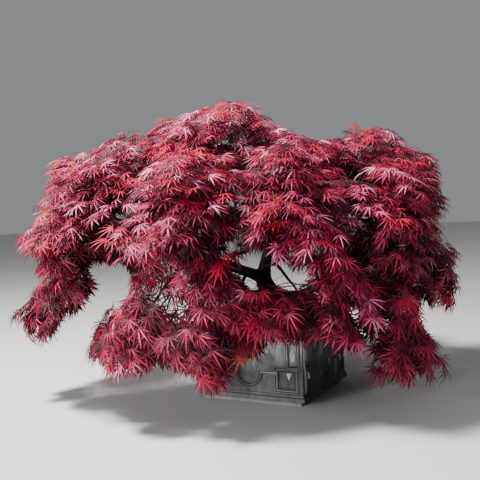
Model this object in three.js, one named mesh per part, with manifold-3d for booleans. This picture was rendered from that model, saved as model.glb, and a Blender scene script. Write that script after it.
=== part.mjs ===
// A weeping, cut-leaved maple with dark red foliage, growing in a square cast planter with strapwork sides.
// Millimetres, +Z up. The origin is the middle of the planter's underside, which stands on level ground,
// and the planter's sides lie along X and Y. The tree is laid out in its own directions, across its broad
// side, toward the front and up, and is turned about Z as one group, because its broad side faces a corner
// of the planter.

import * as THREE from 'three';
import { mergeVertices } from 'three/addons/utils/BufferGeometryUtils.js';
import Module from 'manifold-3d';

const wasm = await Module();
wasm.setup();

// Clearances
const GAP = 0.3; // between pieces that rest on each other
const LIMB_GAP = 0.4; // added to a limb's radius, where the next limb is cut to fit it
const SKIN = 0.25; // what a stem, twig or leaf stays clear of, round every limb and the planter
const CELL_GAP = 1.5; // from a mass of foliage to the plane that parts it from its neighbour

// Planter, from the ground up. A side is the full width of the square.
const FOOT_SIDE = 590;
const FOOT_TOP = 25;
const BASE_SIDE = 650;
const BASE_TOP = 49;
const FILLET_SIDE = 640;
const FILLET_TOP = 63;
const BODY_SIDE = 630;
const BODY_TOP = 490;
const RIM_SIDE = 668;
const RIM_TOP = 530;
const WALL = 35;
const FLOOR = 40;
const SOIL_TOP = 505;
const EDGE = 4; // width of the small chamfers on the mouldings

// Strapwork on each side of the planter, measured across from the middle of the side
const RELIEF = 8;
const STRAP_SUNK = 3;
const STRAP = 24;
const PANEL_MIDDLE = 272; // height of the line that the pattern is mirrored about
const LOBE_DROP = 100; // from that line to the middle of a lobe
const LOBE_RADIUS = 85;
const LOBE_STEPS = 4;
const SHOULDER_END = 165;
const SQUARE = { from: 155, to: 293, low: 66, high: 201, band: 28 }; // low and high are below that line
const COMPARTMENT = { from: 221, to: 303, low: -76, high: 76, band: 20 };
const OVAL = { across: 272, wide: 34, high: 64, steps: 4 };
const DROP_BOSS = { across: 250, wide: 40, high: 42, from: 84 };

// Tree
const TURN = THREE.MathUtils.degToRad(28);
const FLARE_SIDES = 15;
const TRUNK_STEPS = 6;
const BUTTRESSES = 5;
const BUTTRESS_DEPTH = 0.14;
const BOUGH = { sides: 6, steps: 8 };
const BRANCH = { sides: 5, steps: 4 };

// Leaves: each stands for one spray, a hand of five drooping lobes
const LEAF = {
  length: 205,
  thick: 3.6,
  notch: 0.36,
  heel: 0.12,
  droop: 0.3,
  lobes: [0.66, 0.9, 1, 0.9, 0.66],
  fan: THREE.MathUtils.degToRad(42),
};
const LEAF_TRIES = 9;

// Stems and twigs: radius at foot and tip, and where along them things grow, as shares of their length
const STEM_THICK = [8, 4.2];
const STEM_LEAD = 0.2;
const STEM_BEND = 0.45;
const TWIG_THICK = [4, 2.6];
const TWIGS_FROM = 0.15;
const TWIGS_TO = 0.9;
const TWIG_NODE = 0.5;
const TWIG_FOOT = 14; // from the middle of the stem to a twig's first ring
const TWIG_TRIES = 6;
const CROWN_ROUND = 2.4; // radians round an upright stem from one twig to the next
const COLLAR = 8; // length of the collar that side shoots grow from
const THICKER = 1.4; // share by which a stem or twig is thickened to test whether it fits
const STALK = 30; // from the bark to the foot of a side leaf
const STALK_ROOT = 4; // from the bark to where a stalk is tested from
const SIDE_TURN = 1.25; // radians from a twig's direction to that of its side leaves
const TIPS_BEYOND = 90; // how far a leaf's tips may pass the walls, where nothing is in their way
const MIDDLE_AT = 0.55; // where on its stem the middle of a mass lies
const DEPTH_SHARE = 1.3; // turns leaves more toward the front and back, the tree being broader than deep
const UP = new THREE.Vector3(0, 0, 1);

// How a leaf hangs. swing is how far it may turn from its place, more with each try. The rest are set
// against a direction of length 1: its pull outward and down, how far its face is turned up, and how
// unevenly. size is its length against LEAF.length, and shrink what each further try takes off that.
const HANG = {
  swing: 0.4,
  swingMore: 0.3,
  outward: 0.3,
  down: [0.6, 1.1],
  faceUp: [0.75, 1.25],
  uneven: 0.4,
  size: [0.9, 1.1],
  shrink: 0.05,
};

// How a twig leaves its stem: how far it turns round it and away from it, in radians, how flat it lies, and
// how much shorter it is toward the stem's tip. mid is where along it its arch is, which rises by arch and
// falls by drop, all as shares of its length.
const SPREAD = {
  roll: 0.8,
  rollMore: 0.5,
  away: [0.85, 1.2],
  flat: 0.5,
  shorter: 0.35,
  size: [0.9, 1.1],
  shrink: 0.08,
  mid: 0.55,
  arch: 0.1,
  drop: 0.24,
};
const RETRIES = 5; // of a whole mass
const RETRY_STEP = 100; // from one seed of a mass to its next
const UPRIGHT_AT = 0.3; // a stem whose direction is less level than this counts as upright

const FOLIAGE = { roughness: 0.6, metalness: 0, side: THREE.DoubleSide };
const BARK = { color: 0x2b1f24, roughness: 0.9, metalness: 0 };
const CAST = { color: 0x5a5f60, roughness: 0.8, metalness: 0.1 };
const EARTH = { color: 0x241a14, roughness: 1, metalness: 0 };
const REDS = [0x8c1a32, 0x7a1430, 0x9c2238, 0x6b1230, 0x86203e];

// A place in the tree's own directions: across to the right, toward the front, and up.
function place([across, toward, up]) {
  return new THREE.Vector3(across, -toward, up);
}

// Numbers from 0 to 1 in an order set by the seed.
function seededDraws(seed) {
  let state = seed >>> 0;
  return () => {
    state = (state + 0x6d2b79f5) >>> 0;
    let mixed = Math.imul(state ^ (state >>> 15), 1 | state);
    mixed = (mixed + Math.imul(mixed ^ (mixed >>> 7), 61 | mixed)) ^ mixed;
    return ((mixed ^ (mixed >>> 14)) >>> 0) / 4294967296;
  };
}

// A closed geometry as a solid that can be joined and cut.
function solidOf(geometry) {
  const bare = geometry.clone();
  bare.deleteAttribute('normal');
  bare.deleteAttribute('uv');
  const merged = mergeVertices(bare, 1e-4);
  const corners = [];
  for (let i = 0; i < merged.index.count; i += 3) {
    const [a, b, c] = [0, 1, 2].map((k) => merged.index.getX(i + k));
    if (a !== b && b !== c && c !== a) corners.push(a, b, c);
  }
  const mesh = new wasm.Mesh({
    numProp: 3,
    vertProperties: new Float32Array(merged.attributes.position.array),
    triVerts: new Uint32Array(corners),
  });
  return new wasm.Manifold(mesh);
}

// A number between two others, by one draw, and one that is as likely below zero as above it.
const between = ([low, high], draw) => low + (high - low) * draw();
const eitherWay = (width, draw) => (draw() - 0.5) * width;

// The largest of a solid's separate shells: loose scraps and sealed hollows are left out.
function largestBody(solid) {
  const bodies = solid.decompose();
  return bodies.reduce((best, body) => (body.volume() > best.volume() ? body : best));
}

function meshOf(solid, name, look) {
  const { vertProperties, triVerts } = solid.getMesh();
  const geometry = new THREE.BufferGeometry();
  geometry.setAttribute('position', new THREE.BufferAttribute(new Float32Array(vertProperties), 3));
  geometry.setIndex(new THREE.BufferAttribute(new Uint32Array(triVerts), 1));
  const flat = geometry.toNonIndexed();
  flat.computeVertexNormals();
  const mesh = new THREE.Mesh(flat, new THREE.MeshStandardMaterial(look));
  mesh.name = name;
  return mesh;
}

// A square moulding: its profile, as [half side, height] points, mitred round four corners.
function squareMoulding(profile) {
  const points = profile.map(([half, height]) => new THREE.Vector2(half * Math.SQRT2, height));
  const lathe = new THREE.LatheGeometry(points, 4, Math.PI / 4);
  return solidOf(lathe.rotateX(Math.PI / 2));
}

// The outline of a rectangle, from its low left corner.
function rectangle(Kind, left, low, right, high) {
  const outline = new Kind();
  outline.moveTo(left, low).lineTo(right, low).lineTo(right, high).lineTo(left, high).closePath();
  return outline;
}

// A rectangular frame of one band.
function frameShape({ from, to, low, high, band }) {
  const shape = rectangle(THREE.Shape, from, low, to, high);
  shape.holes.push(rectangle(THREE.Path, from + band, low + band, to - band, high - band));
  return shape;
}

// The strapwork of one side, as shapes round the middle of the panel. Only the upper right quarter and
// the right half are drawn: each comes back with the ways in which it is mirrored.
function strapShapes() {
  const lobe = new THREE.Shape();
  lobe.absarc(0, LOBE_DROP, LOBE_RADIUS, 0, Math.PI, false);
  lobe.absarc(0, LOBE_DROP, LOBE_RADIUS - STRAP, Math.PI, 0, true);
  const oval = new THREE.Shape();
  oval.absellipse(OVAL.across, 0, OVAL.wide / 2, OVAL.high / 2, 0, 2 * Math.PI, false, 0);
  const boss = new THREE.Shape();
  boss.moveTo(DROP_BOSS.across, DROP_BOSS.from + DROP_BOSS.high);
  boss.lineTo(DROP_BOSS.across - DROP_BOSS.wide / 2, DROP_BOSS.from);
  boss.lineTo(DROP_BOSS.across + DROP_BOSS.wide / 2, DROP_BOSS.from).closePath();
  const inner = LOBE_RADIUS - STRAP;
  const shoulderLow = LOBE_DROP - STRAP / 2;
  const shoulder = rectangle(THREE.Shape, inner, shoulderLow, SHOULDER_END, shoulderLow + STRAP);
  const quarters = [[1, 1], [-1, 1], [1, -1], [-1, -1]];
  return [
    { shape: lobe, mirrored: [[1, 1], [1, -1]], steps: LOBE_STEPS },
    { shape: shoulder, mirrored: quarters, steps: 1 },
    { shape: frameShape(SQUARE), mirrored: quarters, steps: 1 },
    { shape: frameShape(COMPARTMENT), mirrored: [[1, 1], [-1, 1]], steps: 1 },
    { shape: oval, mirrored: [[1, 1], [-1, 1]], steps: OVAL.steps },
    { shape: boss, mirrored: quarters, steps: 1 },
  ];
}

// The same shapes standing out of all four sides of the body.
function strapSolids() {
  const solids = [];
  for (const { shape, mirrored, steps } of strapShapes()) {
    const raised = new THREE.ExtrudeGeometry(shape, {
      depth: RELIEF + STRAP_SUNK,
      bevelEnabled: false,
      curveSegments: steps,
    });
    const quarter = solidOf(raised);
    for (const [across, up] of mirrored) {
      for (let side = 0; side < 4; side++) {
        solids.push(
          quarter
            .scale([across, up, 1])
            .translate([0, PANEL_MIDDLE, BODY_SIDE / 2 - STRAP_SUNK])
            .rotate([90, 0, 90 * side])
        );
      }
    }
  }
  return solids;
}

function makePlanter() {
  const base = BASE_SIDE / 2;
  const fillet = FILLET_SIDE / 2;
  const body = BODY_SIDE / 2;
  const inside = body - WALL;
  const rim = RIM_SIDE / 2;
  const foot = solidOf(new THREE.BoxGeometry(FOOT_SIDE, FOOT_SIDE, FOOT_TOP - GAP));
  const plinth = squareMoulding([
    [0, FOOT_TOP], [base, FOOT_TOP], [base, BASE_TOP - EDGE], [base - EDGE, BASE_TOP],
    [fillet, BASE_TOP], [fillet - EDGE, FILLET_TOP], [0, FILLET_TOP],
  ]);
  const shell = squareMoulding([
    [0, FILLET_TOP + GAP], [body, FILLET_TOP + GAP], [body, BODY_TOP], [inside, BODY_TOP],
    [inside, FILLET_TOP + FLOOR], [0, FILLET_TOP + FLOOR],
  ]);
  const rimFrom = BODY_TOP + GAP;
  const ring = squareMoulding([
    [inside, rimFrom], [body + EDGE, rimFrom], [body + 2 * EDGE, rimFrom + 2 * EDGE],
    [rim, rimFrom + 4 * EDGE], [rim, RIM_TOP - EDGE], [rim - EDGE, RIM_TOP], [inside, RIM_TOP],
    [inside, rimFrom],
  ]);
  const soilHigh = SOIL_TOP - FILLET_TOP - FLOOR - GAP;
  const soilSide = 2 * (inside - GAP);
  const soil = solidOf(new THREE.BoxGeometry(soilSide, soilSide, soilHigh));
  return {
    planter_foot: foot.translate([0, 0, (FOOT_TOP - GAP) / 2]),
    planter_base: plinth,
    planter_body: wasm.Manifold.union([shell, ...strapSolids()]),
    planter_rim: ring,
    soil: soil.translate([0, 0, SOIL_TOP - soilHigh / 2]),
  };
}

// A tapering tube along a curve, closed at both ends: a straight cylinder whose rings move onto the curve.
// radiusAt gives the radius from how far along a point is and its angle round the tube. grow makes the tube
// that much fatter and longer at each end.
function taperedTube(curve, radiusAt, sides, steps, grow = 0) {
  const tube = new THREE.CylinderGeometry(1, 1, 1, sides, steps);
  const frames = curve.computeFrenetFrames(steps, false);
  const corner = tube.attributes.position;
  for (let i = 0; i < corner.count; i++) {
    const [x, z] = [corner.getX(i), corner.getZ(i)];
    const ring = Math.round((corner.getY(i) + 0.5) * steps);
    const along = ring / steps;
    const radius = radiusAt(along, Math.atan2(z, x)) + grow;
    const beyond = ring === 0 ? -grow : ring === steps ? grow : 0;
    const point = curve.getPoint(along);
    point.addScaledVector(frames.tangents[ring], beyond);
    point.addScaledVector(frames.normals[ring], x * radius);
    point.addScaledVector(frames.binormals[ring], -z * radius);
    corner.setXYZ(i, point.x, point.y, point.z);
  }
  return solidOf(tube);
}

const taper = ([from, to]) => (along) => from + (to - from) * along;

// The trunk leans a little to the left, up to its fork. Buttresses run out of its foot and die away upwards.
// It is drawn from below the soil, and then cut off flat where it meets it.
const TRUNK = {
  points: [[6, 0, 475], [-14, 0, 560], [-38, 0, 625], [-50, 0, 690]],
  foot: 92,
  neck: 42,
  cut: 400,
};

function trunkRadius(along, angle) {
  const flare = (1 - along) ** 2.2;
  const buttress = 1 + BUTTRESS_DEPTH * flare * Math.cos(BUTTRESSES * angle);
  return (TRUNK.neck + (TRUNK.foot - TRUNK.neck) * flare) * buttress;
}

// Boughs and branches, in the order in which they leave each other. from is the limb that each grows out of,
// at is how far along that limb, points are the places that it passes, the last being its tip, and thick is
// its radius at its foot and at its tip.
const LIMBS = [
  { name: 'bough_left', from: 'trunk', at: 0.78, thick: [33, 11],
    points: [[-150, 0, 690], [-270, 0, 735], [-410, 0, 800], [-650, 10, 940], [-930, 10, 1110]] },
  { name: 'bough_up', from: 'trunk', at: 0.8, thick: [38, 12],
    points: [[-20, 0, 760], [2, 0, 840], [-20, 15, 1080], [-150, 50, 1330]] },
  { name: 'bough_right', from: 'bough_up', at: 0.36, thick: [25, 11],
    points: [[150, 0, 950], [300, 0, 1030], [460, 30, 1200]] },
  { name: 'branch_left_top', from: 'bough_left', at: 0.42, thick: [17, 10],
    points: [[-500, 30, 980], [-630, 70, 1200]] },
  { name: 'branch_middle_top', from: 'bough_up', at: 0.6, thick: [15, 9],
    points: [[80, -20, 1130], [150, -40, 1240]] },
  { name: 'branch_front_left', from: 'bough_left', at: 0.5, thick: [15, 9],
    points: [[-500, 130, 960], [-510, 290, 1120]] },
  { name: 'branch_front_loop', from: 'bough_left', at: 0.2, thick: [11, 8],
    points: [[-205, 25, 775], [-130, 80, 808], [-70, 170, 890], [-130, 330, 1110]] },
  { name: 'branch_front_right', from: 'bough_right', at: 0.35, thick: [14, 9],
    points: [[170, 150, 1000], [220, 320, 1090]] },
  { name: 'branch_far_right', from: 'bough_right', at: 0.62, thick: [14, 9],
    points: [[480, 50, 1060], [650, 90, 1130]] },
  { name: 'branch_back_left', from: 'bough_left', at: 0.55, thick: [15, 9],
    points: [[-540, -120, 1020], [-590, -240, 1150]] },
  { name: 'branch_back', from: 'bough_up', at: 0.5, thick: [15, 9],
    points: [[-50, -150, 1060], [-80, -300, 1180]] },
  { name: 'branch_back_right', from: 'bough_right', at: 0.45, thick: [14, 9],
    points: [[290, -140, 1040], [340, -270, 1150]] },
  { name: 'branch_back_top_left', from: 'bough_left', at: 0.64, thick: [13, 9],
    points: [[-500, -110, 1080], [-450, -200, 1230]] },
  { name: 'branch_back_top_right', from: 'bough_up', at: 0.7, thick: [13, 9],
    points: [[60, -120, 1140], [160, -210, 1220]] },
  { name: 'branch_left_skirt', from: 'bough_left', at: 0.86, thick: [10, 8],
    points: [[-960, 50, 1020], [-1090, 70, 960]] },
  { name: 'branch_left_hanging', from: 'branch_left_skirt', at: 0.5, thick: [8.5, 7],
    points: [[-1050, -50, 880], [-1150, -30, 740], [-1180, 50, 620]] },
  { name: 'branch_low_left', from: 'bough_left', at: 0.3, thick: [14, 10],
    points: [[-340, 140, 790], [-390, 280, 740]] },
  { name: 'branch_low_left_outer', from: 'branch_low_left', at: 0.55, thick: [9.5, 8],
    points: [[-500, 270, 730], [-620, 400, 590]] },
  { name: 'branch_low_left_front', from: 'branch_low_left', at: 0.8, thick: [9, 7.5],
    points: [[-330, 380, 640], [-400, 500, 530]] },
  { name: 'branch_over_rim_left', from: 'bough_left', at: 0.08, thick: [12, 8],
    points: [[-120, 140, 700], [-160, 300, 665], [-190, 420, 600]] },
  { name: 'branch_over_rim', from: 'bough_up', at: 0.12, thick: [12, 8],
    points: [[20, 180, 735], [80, 400, 665]] },
  { name: 'branch_low_right', from: 'bough_right', at: 0.22, thick: [13, 9],
    points: [[200, 130, 880], [280, 260, 800], [330, 340, 720]] },
  { name: 'branch_low_right_outer', from: 'branch_low_right', at: 0.6, thick: [9, 7.5],
    points: [[400, 260, 720], [540, 380, 560]] },
  { name: 'branch_right_skirt', from: 'branch_far_right', at: 0.6, thick: [10, 8],
    points: [[700, 110, 980], [800, 130, 880]] },
  { name: 'branch_back_left_skirt', from: 'branch_back_left', at: 0.6, thick: [10, 8],
    points: [[-680, -300, 1010], [-850, -420, 940]] },
  { name: 'branch_back_skirt', from: 'branch_back', at: 0.6, thick: [10, 8],
    points: [[-120, -420, 1000], [-150, -680, 960]] },
  { name: 'branch_back_right_skirt', from: 'branch_back_right', at: 0.6, thick: [10, 8],
    points: [[420, -330, 960], [560, -510, 900]] },
];

// Masses of foliage. limb is the bough or branch whose tip carries the stem, to is where the stem ends, rise
// lifts the middle of its arch, wide is the length of its longest twigs, and twigs how many there are. A mass
// draws by its number in the list, or by a seed of its own.
const MASSES = [
  { name: 'foliage_top', limb: 'bough_up', to: [-180, 40, 1625],
    rise: 0, wide: 340, twigs: 5, round: CROWN_ROUND },
  { name: 'foliage_top_right', limb: 'bough_right', to: [610, 0, 1455],
    rise: 40, wide: 310, twigs: 5, round: CROWN_ROUND },
  { name: 'foliage_top_left', limb: 'branch_left_top', to: [-800, 30, 1410],
    rise: 80, wide: 350, twigs: 5, round: CROWN_ROUND, seed: 42 },
  { name: 'foliage_top_middle', limb: 'branch_middle_top', to: [260, -60, 1400],
    rise: 0, wide: 310, twigs: 5, round: CROWN_ROUND },
  { name: 'foliage_far_left', limb: 'bough_left', to: [-1120, 0, 1310],
    rise: 170, wide: 230, twigs: 5, seed: 41 },
  { name: 'foliage_front_left', limb: 'branch_front_left', to: [-740, 620, 970],
    rise: 260, wide: 300, twigs: 5 },
  { name: 'foliage_front', limb: 'branch_front_loop', to: [-190, 740, 980], rise: 300, wide: 300, twigs: 6 },
  { name: 'foliage_front_right', limb: 'branch_front_right', to: [360, 680, 920],
    rise: 260, wide: 300, twigs: 5 },
  { name: 'foliage_far_right', limb: 'branch_far_right', to: [850, 140, 1110],
    rise: 170, wide: 280, twigs: 5 },
  { name: 'foliage_back_left', limb: 'branch_back_left', to: [-740, -640, 960],
    rise: 300, wide: 340, twigs: 5, seed: 43 },
  { name: 'foliage_back', limb: 'branch_back', to: [-120, -760, 1000], rise: 320, wide: 340, twigs: 5 },
  { name: 'foliage_back_right', limb: 'branch_back_right', to: [520, -640, 950],
    rise: 300, wide: 340, twigs: 5 },
  { name: 'foliage_back_top_left', limb: 'branch_back_top_left', to: [-400, -360, 1400],
    rise: 60, wide: 300, twigs: 4, round: CROWN_ROUND },
  { name: 'foliage_back_top_right', limb: 'branch_back_top_right', to: [330, -400, 1330],
    rise: 60, wide: 300, twigs: 4, round: CROWN_ROUND },
  { name: 'foliage_left_skirt', limb: 'branch_left_skirt', to: [-1190, 90, 850],
    rise: 80, wide: 240, twigs: 5 },
  { name: 'foliage_left_hanging', limb: 'branch_left_hanging', to: [-1220, 110, 530],
    rise: 20, wide: 130, twigs: 4 },
  { name: 'foliage_low_left', limb: 'branch_low_left', to: [-500, 560, 660], rise: 100, wide: 250, twigs: 5 },
  { name: 'foliage_low_left_outer', limb: 'branch_low_left_outer', to: [-770, 550, 420],
    rise: 50, wide: 190, twigs: 4 },
  { name: 'foliage_low_left_front', limb: 'branch_low_left_front', to: [-540, 650, 420],
    rise: 40, wide: 170, twigs: 4 },
  { name: 'foliage_rim_left', limb: 'branch_over_rim_left', to: [-320, 560, 360],
    rise: 60, wide: 160, twigs: 4 },
  { name: 'foliage_rim', limb: 'branch_over_rim', to: [130, 620, 540], rise: 40, wide: 190, twigs: 4 },
  { name: 'foliage_low_right', limb: 'branch_low_right', to: [420, 550, 560], rise: 60, wide: 230, twigs: 5 },
  { name: 'foliage_low_right_outer', limb: 'branch_low_right_outer', to: [710, 470, 290],
    rise: 60, wide: 190, twigs: 4 },
  { name: 'foliage_right_skirt', limb: 'branch_right_skirt', to: [790, 160, 640],
    rise: 40, wide: 190, twigs: 5 },
  { name: 'foliage_back_left_skirt', limb: 'branch_back_left_skirt', to: [-1050, -510, 740],
    rise: 70, wide: 260, twigs: 5 },
  { name: 'foliage_back_skirt', limb: 'branch_back_skirt', to: [-180, -860, 830],
    rise: 70, wide: 260, twigs: 5 },
  { name: 'foliage_back_right_skirt', limb: 'branch_back_right_skirt', to: [700, -640, 690],
    rise: 70, wide: 260, twigs: 5 },
];

// Cuts a limb to fit the limbs that were there before it, and keeps the part that runs on to its tip.
function cutToFit(raw, earlier) {
  const near = earlier.filter(({ box }) => boxesMeet(box, raw.boundingBox()));
  return near.length ? largestBody(raw.subtract(wasm.Manifold.union(near.map((limb) => limb.room)))) : raw;
}

function boxesMeet(one, other) {
  return [0, 1, 2].every((axis) => one.min[axis] < other.max[axis] && other.min[axis] < one.max[axis]);
}

// The trunk and every limb: its curve, its solid, and the slightly larger solids that keep others off it.
function growLimbs() {
  const grown = new Map();
  const ground = solidOf(new THREE.BoxGeometry(TRUNK.cut, TRUNK.cut, TRUNK.cut))
    .translate([0, 0, SOIL_TOP + GAP - TRUNK.cut / 2]);
  const add = (name, curve, radiusAt, sides, steps) => {
    const raw = taperedTube(curve, radiusAt, sides, steps).subtract(ground);
    const room = taperedTube(curve, radiusAt, sides, steps, LIMB_GAP);
    const skin = taperedTube(curve, radiusAt, sides, steps, SKIN);
    const solid = cutToFit(raw, [...grown.values()]);
    grown.set(name, { curve, radiusAt, solid, room, skin, box: skin.boundingBox() });
  };
  add('trunk', new THREE.CatmullRomCurve3(TRUNK.points.map(place)), trunkRadius, FLARE_SIDES, TRUNK_STEPS);
  for (const { name, from, at, points, thick } of LIMBS) {
    const start = grown.get(from).curve.getPoint(at);
    const curve = new THREE.CatmullRomCurve3([start, ...points.map(place)]);
    const { sides, steps } = name.startsWith('bough') ? BOUGH : BRANCH;
    add(name, curve, taper(thick), sides, steps);
  }
  return grown;
}

// A closed skin that grows: three-sided tubes, whose faces can be opened again for a side shoot to grow from,
// and leaves that close their ends.
class Skin {
  points = [];
  faces = [];

  // A ring of three points round a centre, turned to follow the three points that it will be joined to.
  ring(centre, direction, radius, before) {
    const [first, second, third] = before.map((index) => this.points[index]);
    const middle = first.clone().add(second).add(third).divideScalar(3);
    const towards = first.clone().sub(middle);
    towards.addScaledVector(direction, -towards.dot(direction)).normalize();
    const across = new THREE.Vector3().crossVectors(direction, towards);
    return [0, 1, 2].map((corner) => {
      const angle = (corner * 2 * Math.PI) / 3;
      const point = centre.clone().addScaledVector(towards, radius * Math.cos(angle));
      return this.points.push(point.addScaledVector(across, radius * Math.sin(angle))) - 1;
    });
  }

  firstRing(centre, direction, radius) {
    const aside = Math.abs(direction.z) > 0.9 ? new THREE.Vector3(1, 0, 0) : UP;
    const across = new THREE.Vector3().crossVectors(direction, aside).normalize();
    const guide = new THREE.Vector3().crossVectors(across, direction);
    const ring = [0, 1, 2].map((corner) => {
      const angle = (corner * 2 * Math.PI) / 3;
      const point = centre.clone().addScaledVector(guide, radius * Math.cos(angle));
      return this.points.push(point.addScaledVector(across, -radius * Math.sin(angle))) - 1;
    });
    this.faces.push([ring[2], ring[1], ring[0]]);
    return ring;
  }

  // Joins two rings, and returns the places of the six new faces in the list.
  join(from, to) {
    const places = [];
    for (let i = 0; i < 3; i++) {
      const next = (i + 1) % 3;
      places.push(this.faces.push([from[i], from[next], to[next]]) - 1);
      places.push(this.faces.push([from[i], to[next], to[i]]) - 1);
    }
    return places;
  }

  normalOf(place) {
    const [first, second, third] = this.faces[place].map((index) => this.points[index]);
    return second.clone().sub(first).cross(third.clone().sub(first)).normalize();
  }

  // Opens the face that looks most nearly along a direction, and takes it off the list of those still free.
  open(free, direction) {
    free.sort((one, other) => this.normalOf(other).dot(direction) - this.normalOf(one).dot(direction));
    const place = free.shift();
    const ring = this.faces[place];
    this.faces[place] = null;
    return ring;
  }

  // Closes a ring with a flat cap that looks ahead.
  close(ring) {
    this.faces.push([...ring]);
  }

  // Closes a ring with a leaf. The ring's left and right points join the two sides of the leaf's outline, and
  // its third point, which lies above or below them, belongs to that side of the leaf.
  closeWithLeaf(ring, { side, up, outline, hub }) {
    const sideOf = (index) => this.points[index].dot(side);
    const start = ring.indexOf([...ring].sort((one, other) => sideOf(other) - sideOf(one))[0]);
    const [left, second, third] = [0, 1, 2].map((step) => ring[(start + step) % 3]);
    const thirdPointIsOver = sideOf(second) > sideOf(third);
    const right = thirdPointIsOver ? third : second;
    const rim = [right, ...outline.map((point) => this.points.push(point) - 1), left];
    const top = this.points.push(hub.clone().addScaledVector(up, LEAF.thick)) - 1;
    const under = this.points.push(hub.clone().addScaledVector(up, -LEAF.thick)) - 1;
    const over = thirdPointIsOver ? [...rim, second] : rim;
    const below = thirdPointIsOver ? rim : [...rim, third];
    over.forEach((point, i) => this.faces.push([point, over[(i + 1) % over.length], top]));
    below.forEach((point, i) => this.faces.push([below[(i + 1) % below.length], point, under]));
  }

  solid() {
    const geometry = new THREE.BufferGeometry().setFromPoints(this.points);
    geometry.setIndex(this.faces.filter(Boolean).flat());
    return solidOf(geometry);
  }
}

// The shape of a leaf whose stalk ends at base: a hand of five lobes that bend down toward their tips.
function leafShape(base, along, up, length) {
  const side = new THREE.Vector3().crossVectors(up, along).normalize();
  const out = new THREE.Vector3().crossVectors(side, up).normalize();
  const hub = base.clone().addScaledVector(out, LEAF.heel * length);
  const pointAt = (reach, angle) => {
    const point = hub.clone();
    point.addScaledVector(out, reach * length * Math.cos(angle));
    point.addScaledVector(side, reach * length * Math.sin(angle));
    return point.addScaledVector(up, -LEAF.droop * length * reach * reach);
  };
  const outline = LEAF.lobes.flatMap((reach, i) => {
    const angle = (i - (LEAF.lobes.length - 1) / 2) * LEAF.fan;
    const tip = pointAt(reach, angle);
    return i > 0 ? [pointAt(LEAF.notch, angle - LEAF.fan / 2), tip] : [tip];
  });
  return { side, up, outline, hub };
}

// The space that a mass keeps to: inside its walls, which are the planes half-way to its neighbours' middles,
// and clear of the limbs, the planter, and every twig and leaf that is already taken.
class Space {
  constructor(middle, others, obstacles, taken) {
    this.walls = others.map((other) => {
      const normal = other.clone().sub(middle).normalize();
      return { normal, reach: normal.dot(other.clone().add(middle).multiplyScalar(0.5)) - CELL_GAP };
    });
    this.obstacles = obstacles;
    this.taken = taken;
  }

  // Whether a solid fits. Its points may pass the walls by beyond, and it may touch the one named by except.
  admits(solid, points, beyond, except) {
    const inside = points.every((point) =>
      this.walls.every(({ normal, reach }) => normal.dot(point) < reach + beyond)
    );
    return (
      inside &&
      this.obstacles.every((other) => isClear(solid, other)) &&
      this.taken.every((other) => other === except || isClear(solid, other))
    );
  }

  take(solid) {
    const entry = { skin: solid, box: solid.boundingBox() };
    this.taken.push(entry);
    return entry;
  }
}

function isClear(solid, { skin, box }) {
  return !boxesMeet(box, solid.boundingBox()) || solid.intersect(skin).isEmpty();
}

// Grows a three-sided tube along a curve from a ring that is already there. from is where its own first ring
// lies, if it is a side shoot. At each node two rings lie close together as a collar, whose faces are free
// for side shoots.
function growTube(skin, curve, ring, nodes, thick, from = 0) {
  const half = COLLAR / 2 / curve.getLength();
  const add = (stop, last) => {
    const next = skin.ring(curve.getPoint(stop), curve.getTangent(stop), taper(thick)(stop), last);
    return { next, places: skin.join(last, next) };
  };
  let last = from > 0 ? add(from, ring).next : ring;
  const collars = nodes.map((node) => {
    const { next } = add(node - half, last);
    const collar = add(node + half, next);
    last = collar.next;
    return collar.places;
  });
  return { end: add(1, last).next, collars };
}

// The same tube by itself, closed and a little thicker, to test whether it fits.
function loneTube(curve, nodes, thick, from = 0) {
  const lone = new Skin();
  const thicker = thick.map((radius) => radius * THICKER);
  const first = lone.firstRing(curve.getPoint(from), curve.getTangent(from), taper(thicker)(from));
  lone.close(growTube(lone, curve, first, nodes, thicker).end);
  return lone.solid();
}

// A leaf that closes the end of a twig.
function addEndLeaf(skin, ring, curve, space, carrier, draw) {
  const base = curve.getPoint(1);
  for (let attempt = 0; attempt < LEAF_TRIES; attempt++) {
    const { along, up, length } = leafPose(base, curve.getTangent(1), 0, attempt, draw);
    const leaf = leafShape(base, along, up, length);
    const lone = new Skin();
    lone.closeWithLeaf(lone.firstRing(base, along, TWIG_THICK[1]), leaf);
    const solid = lone.solid();
    if (!space.admits(solid, lone.points, TIPS_BEYOND, carrier)) continue;
    space.take(solid);
    skin.closeWithLeaf(ring, leaf);
    return;
  }
  skin.close(ring);
}

// A leaf on a stalk that grows out of a collar.
function addSideLeaf(skin, collar, middle, direction, turn, thick, space, draw) {
  for (let attempt = 0; attempt < LEAF_TRIES; attempt++) {
    const { along, up, length } = leafPose(middle, direction, turn, attempt, draw);
    const foot = middle.clone().addScaledVector(along, thick + STALK);
    const leaf = leafShape(foot, along, up, length);
    const lone = new Skin();
    const root = middle.clone().addScaledVector(along, thick + STALK_ROOT);
    const rootRing = lone.firstRing(root, along, TWIG_THICK[1]);
    const footRing = lone.ring(foot, along, TWIG_THICK[1], rootRing);
    lone.join(rootRing, footRing);
    lone.closeWithLeaf(footRing, leaf);
    const solid = lone.solid();
    if (!space.admits(solid, lone.points, TIPS_BEYOND)) continue;
    space.take(solid);
    const opened = skin.open(collar, along);
    const stalkEnd = skin.ring(foot, along, TWIG_THICK[1], opened);
    skin.join(opened, stalkEnd);
    skin.closeWithLeaf(stalkEnd, leaf);
    return;
  }
}

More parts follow.
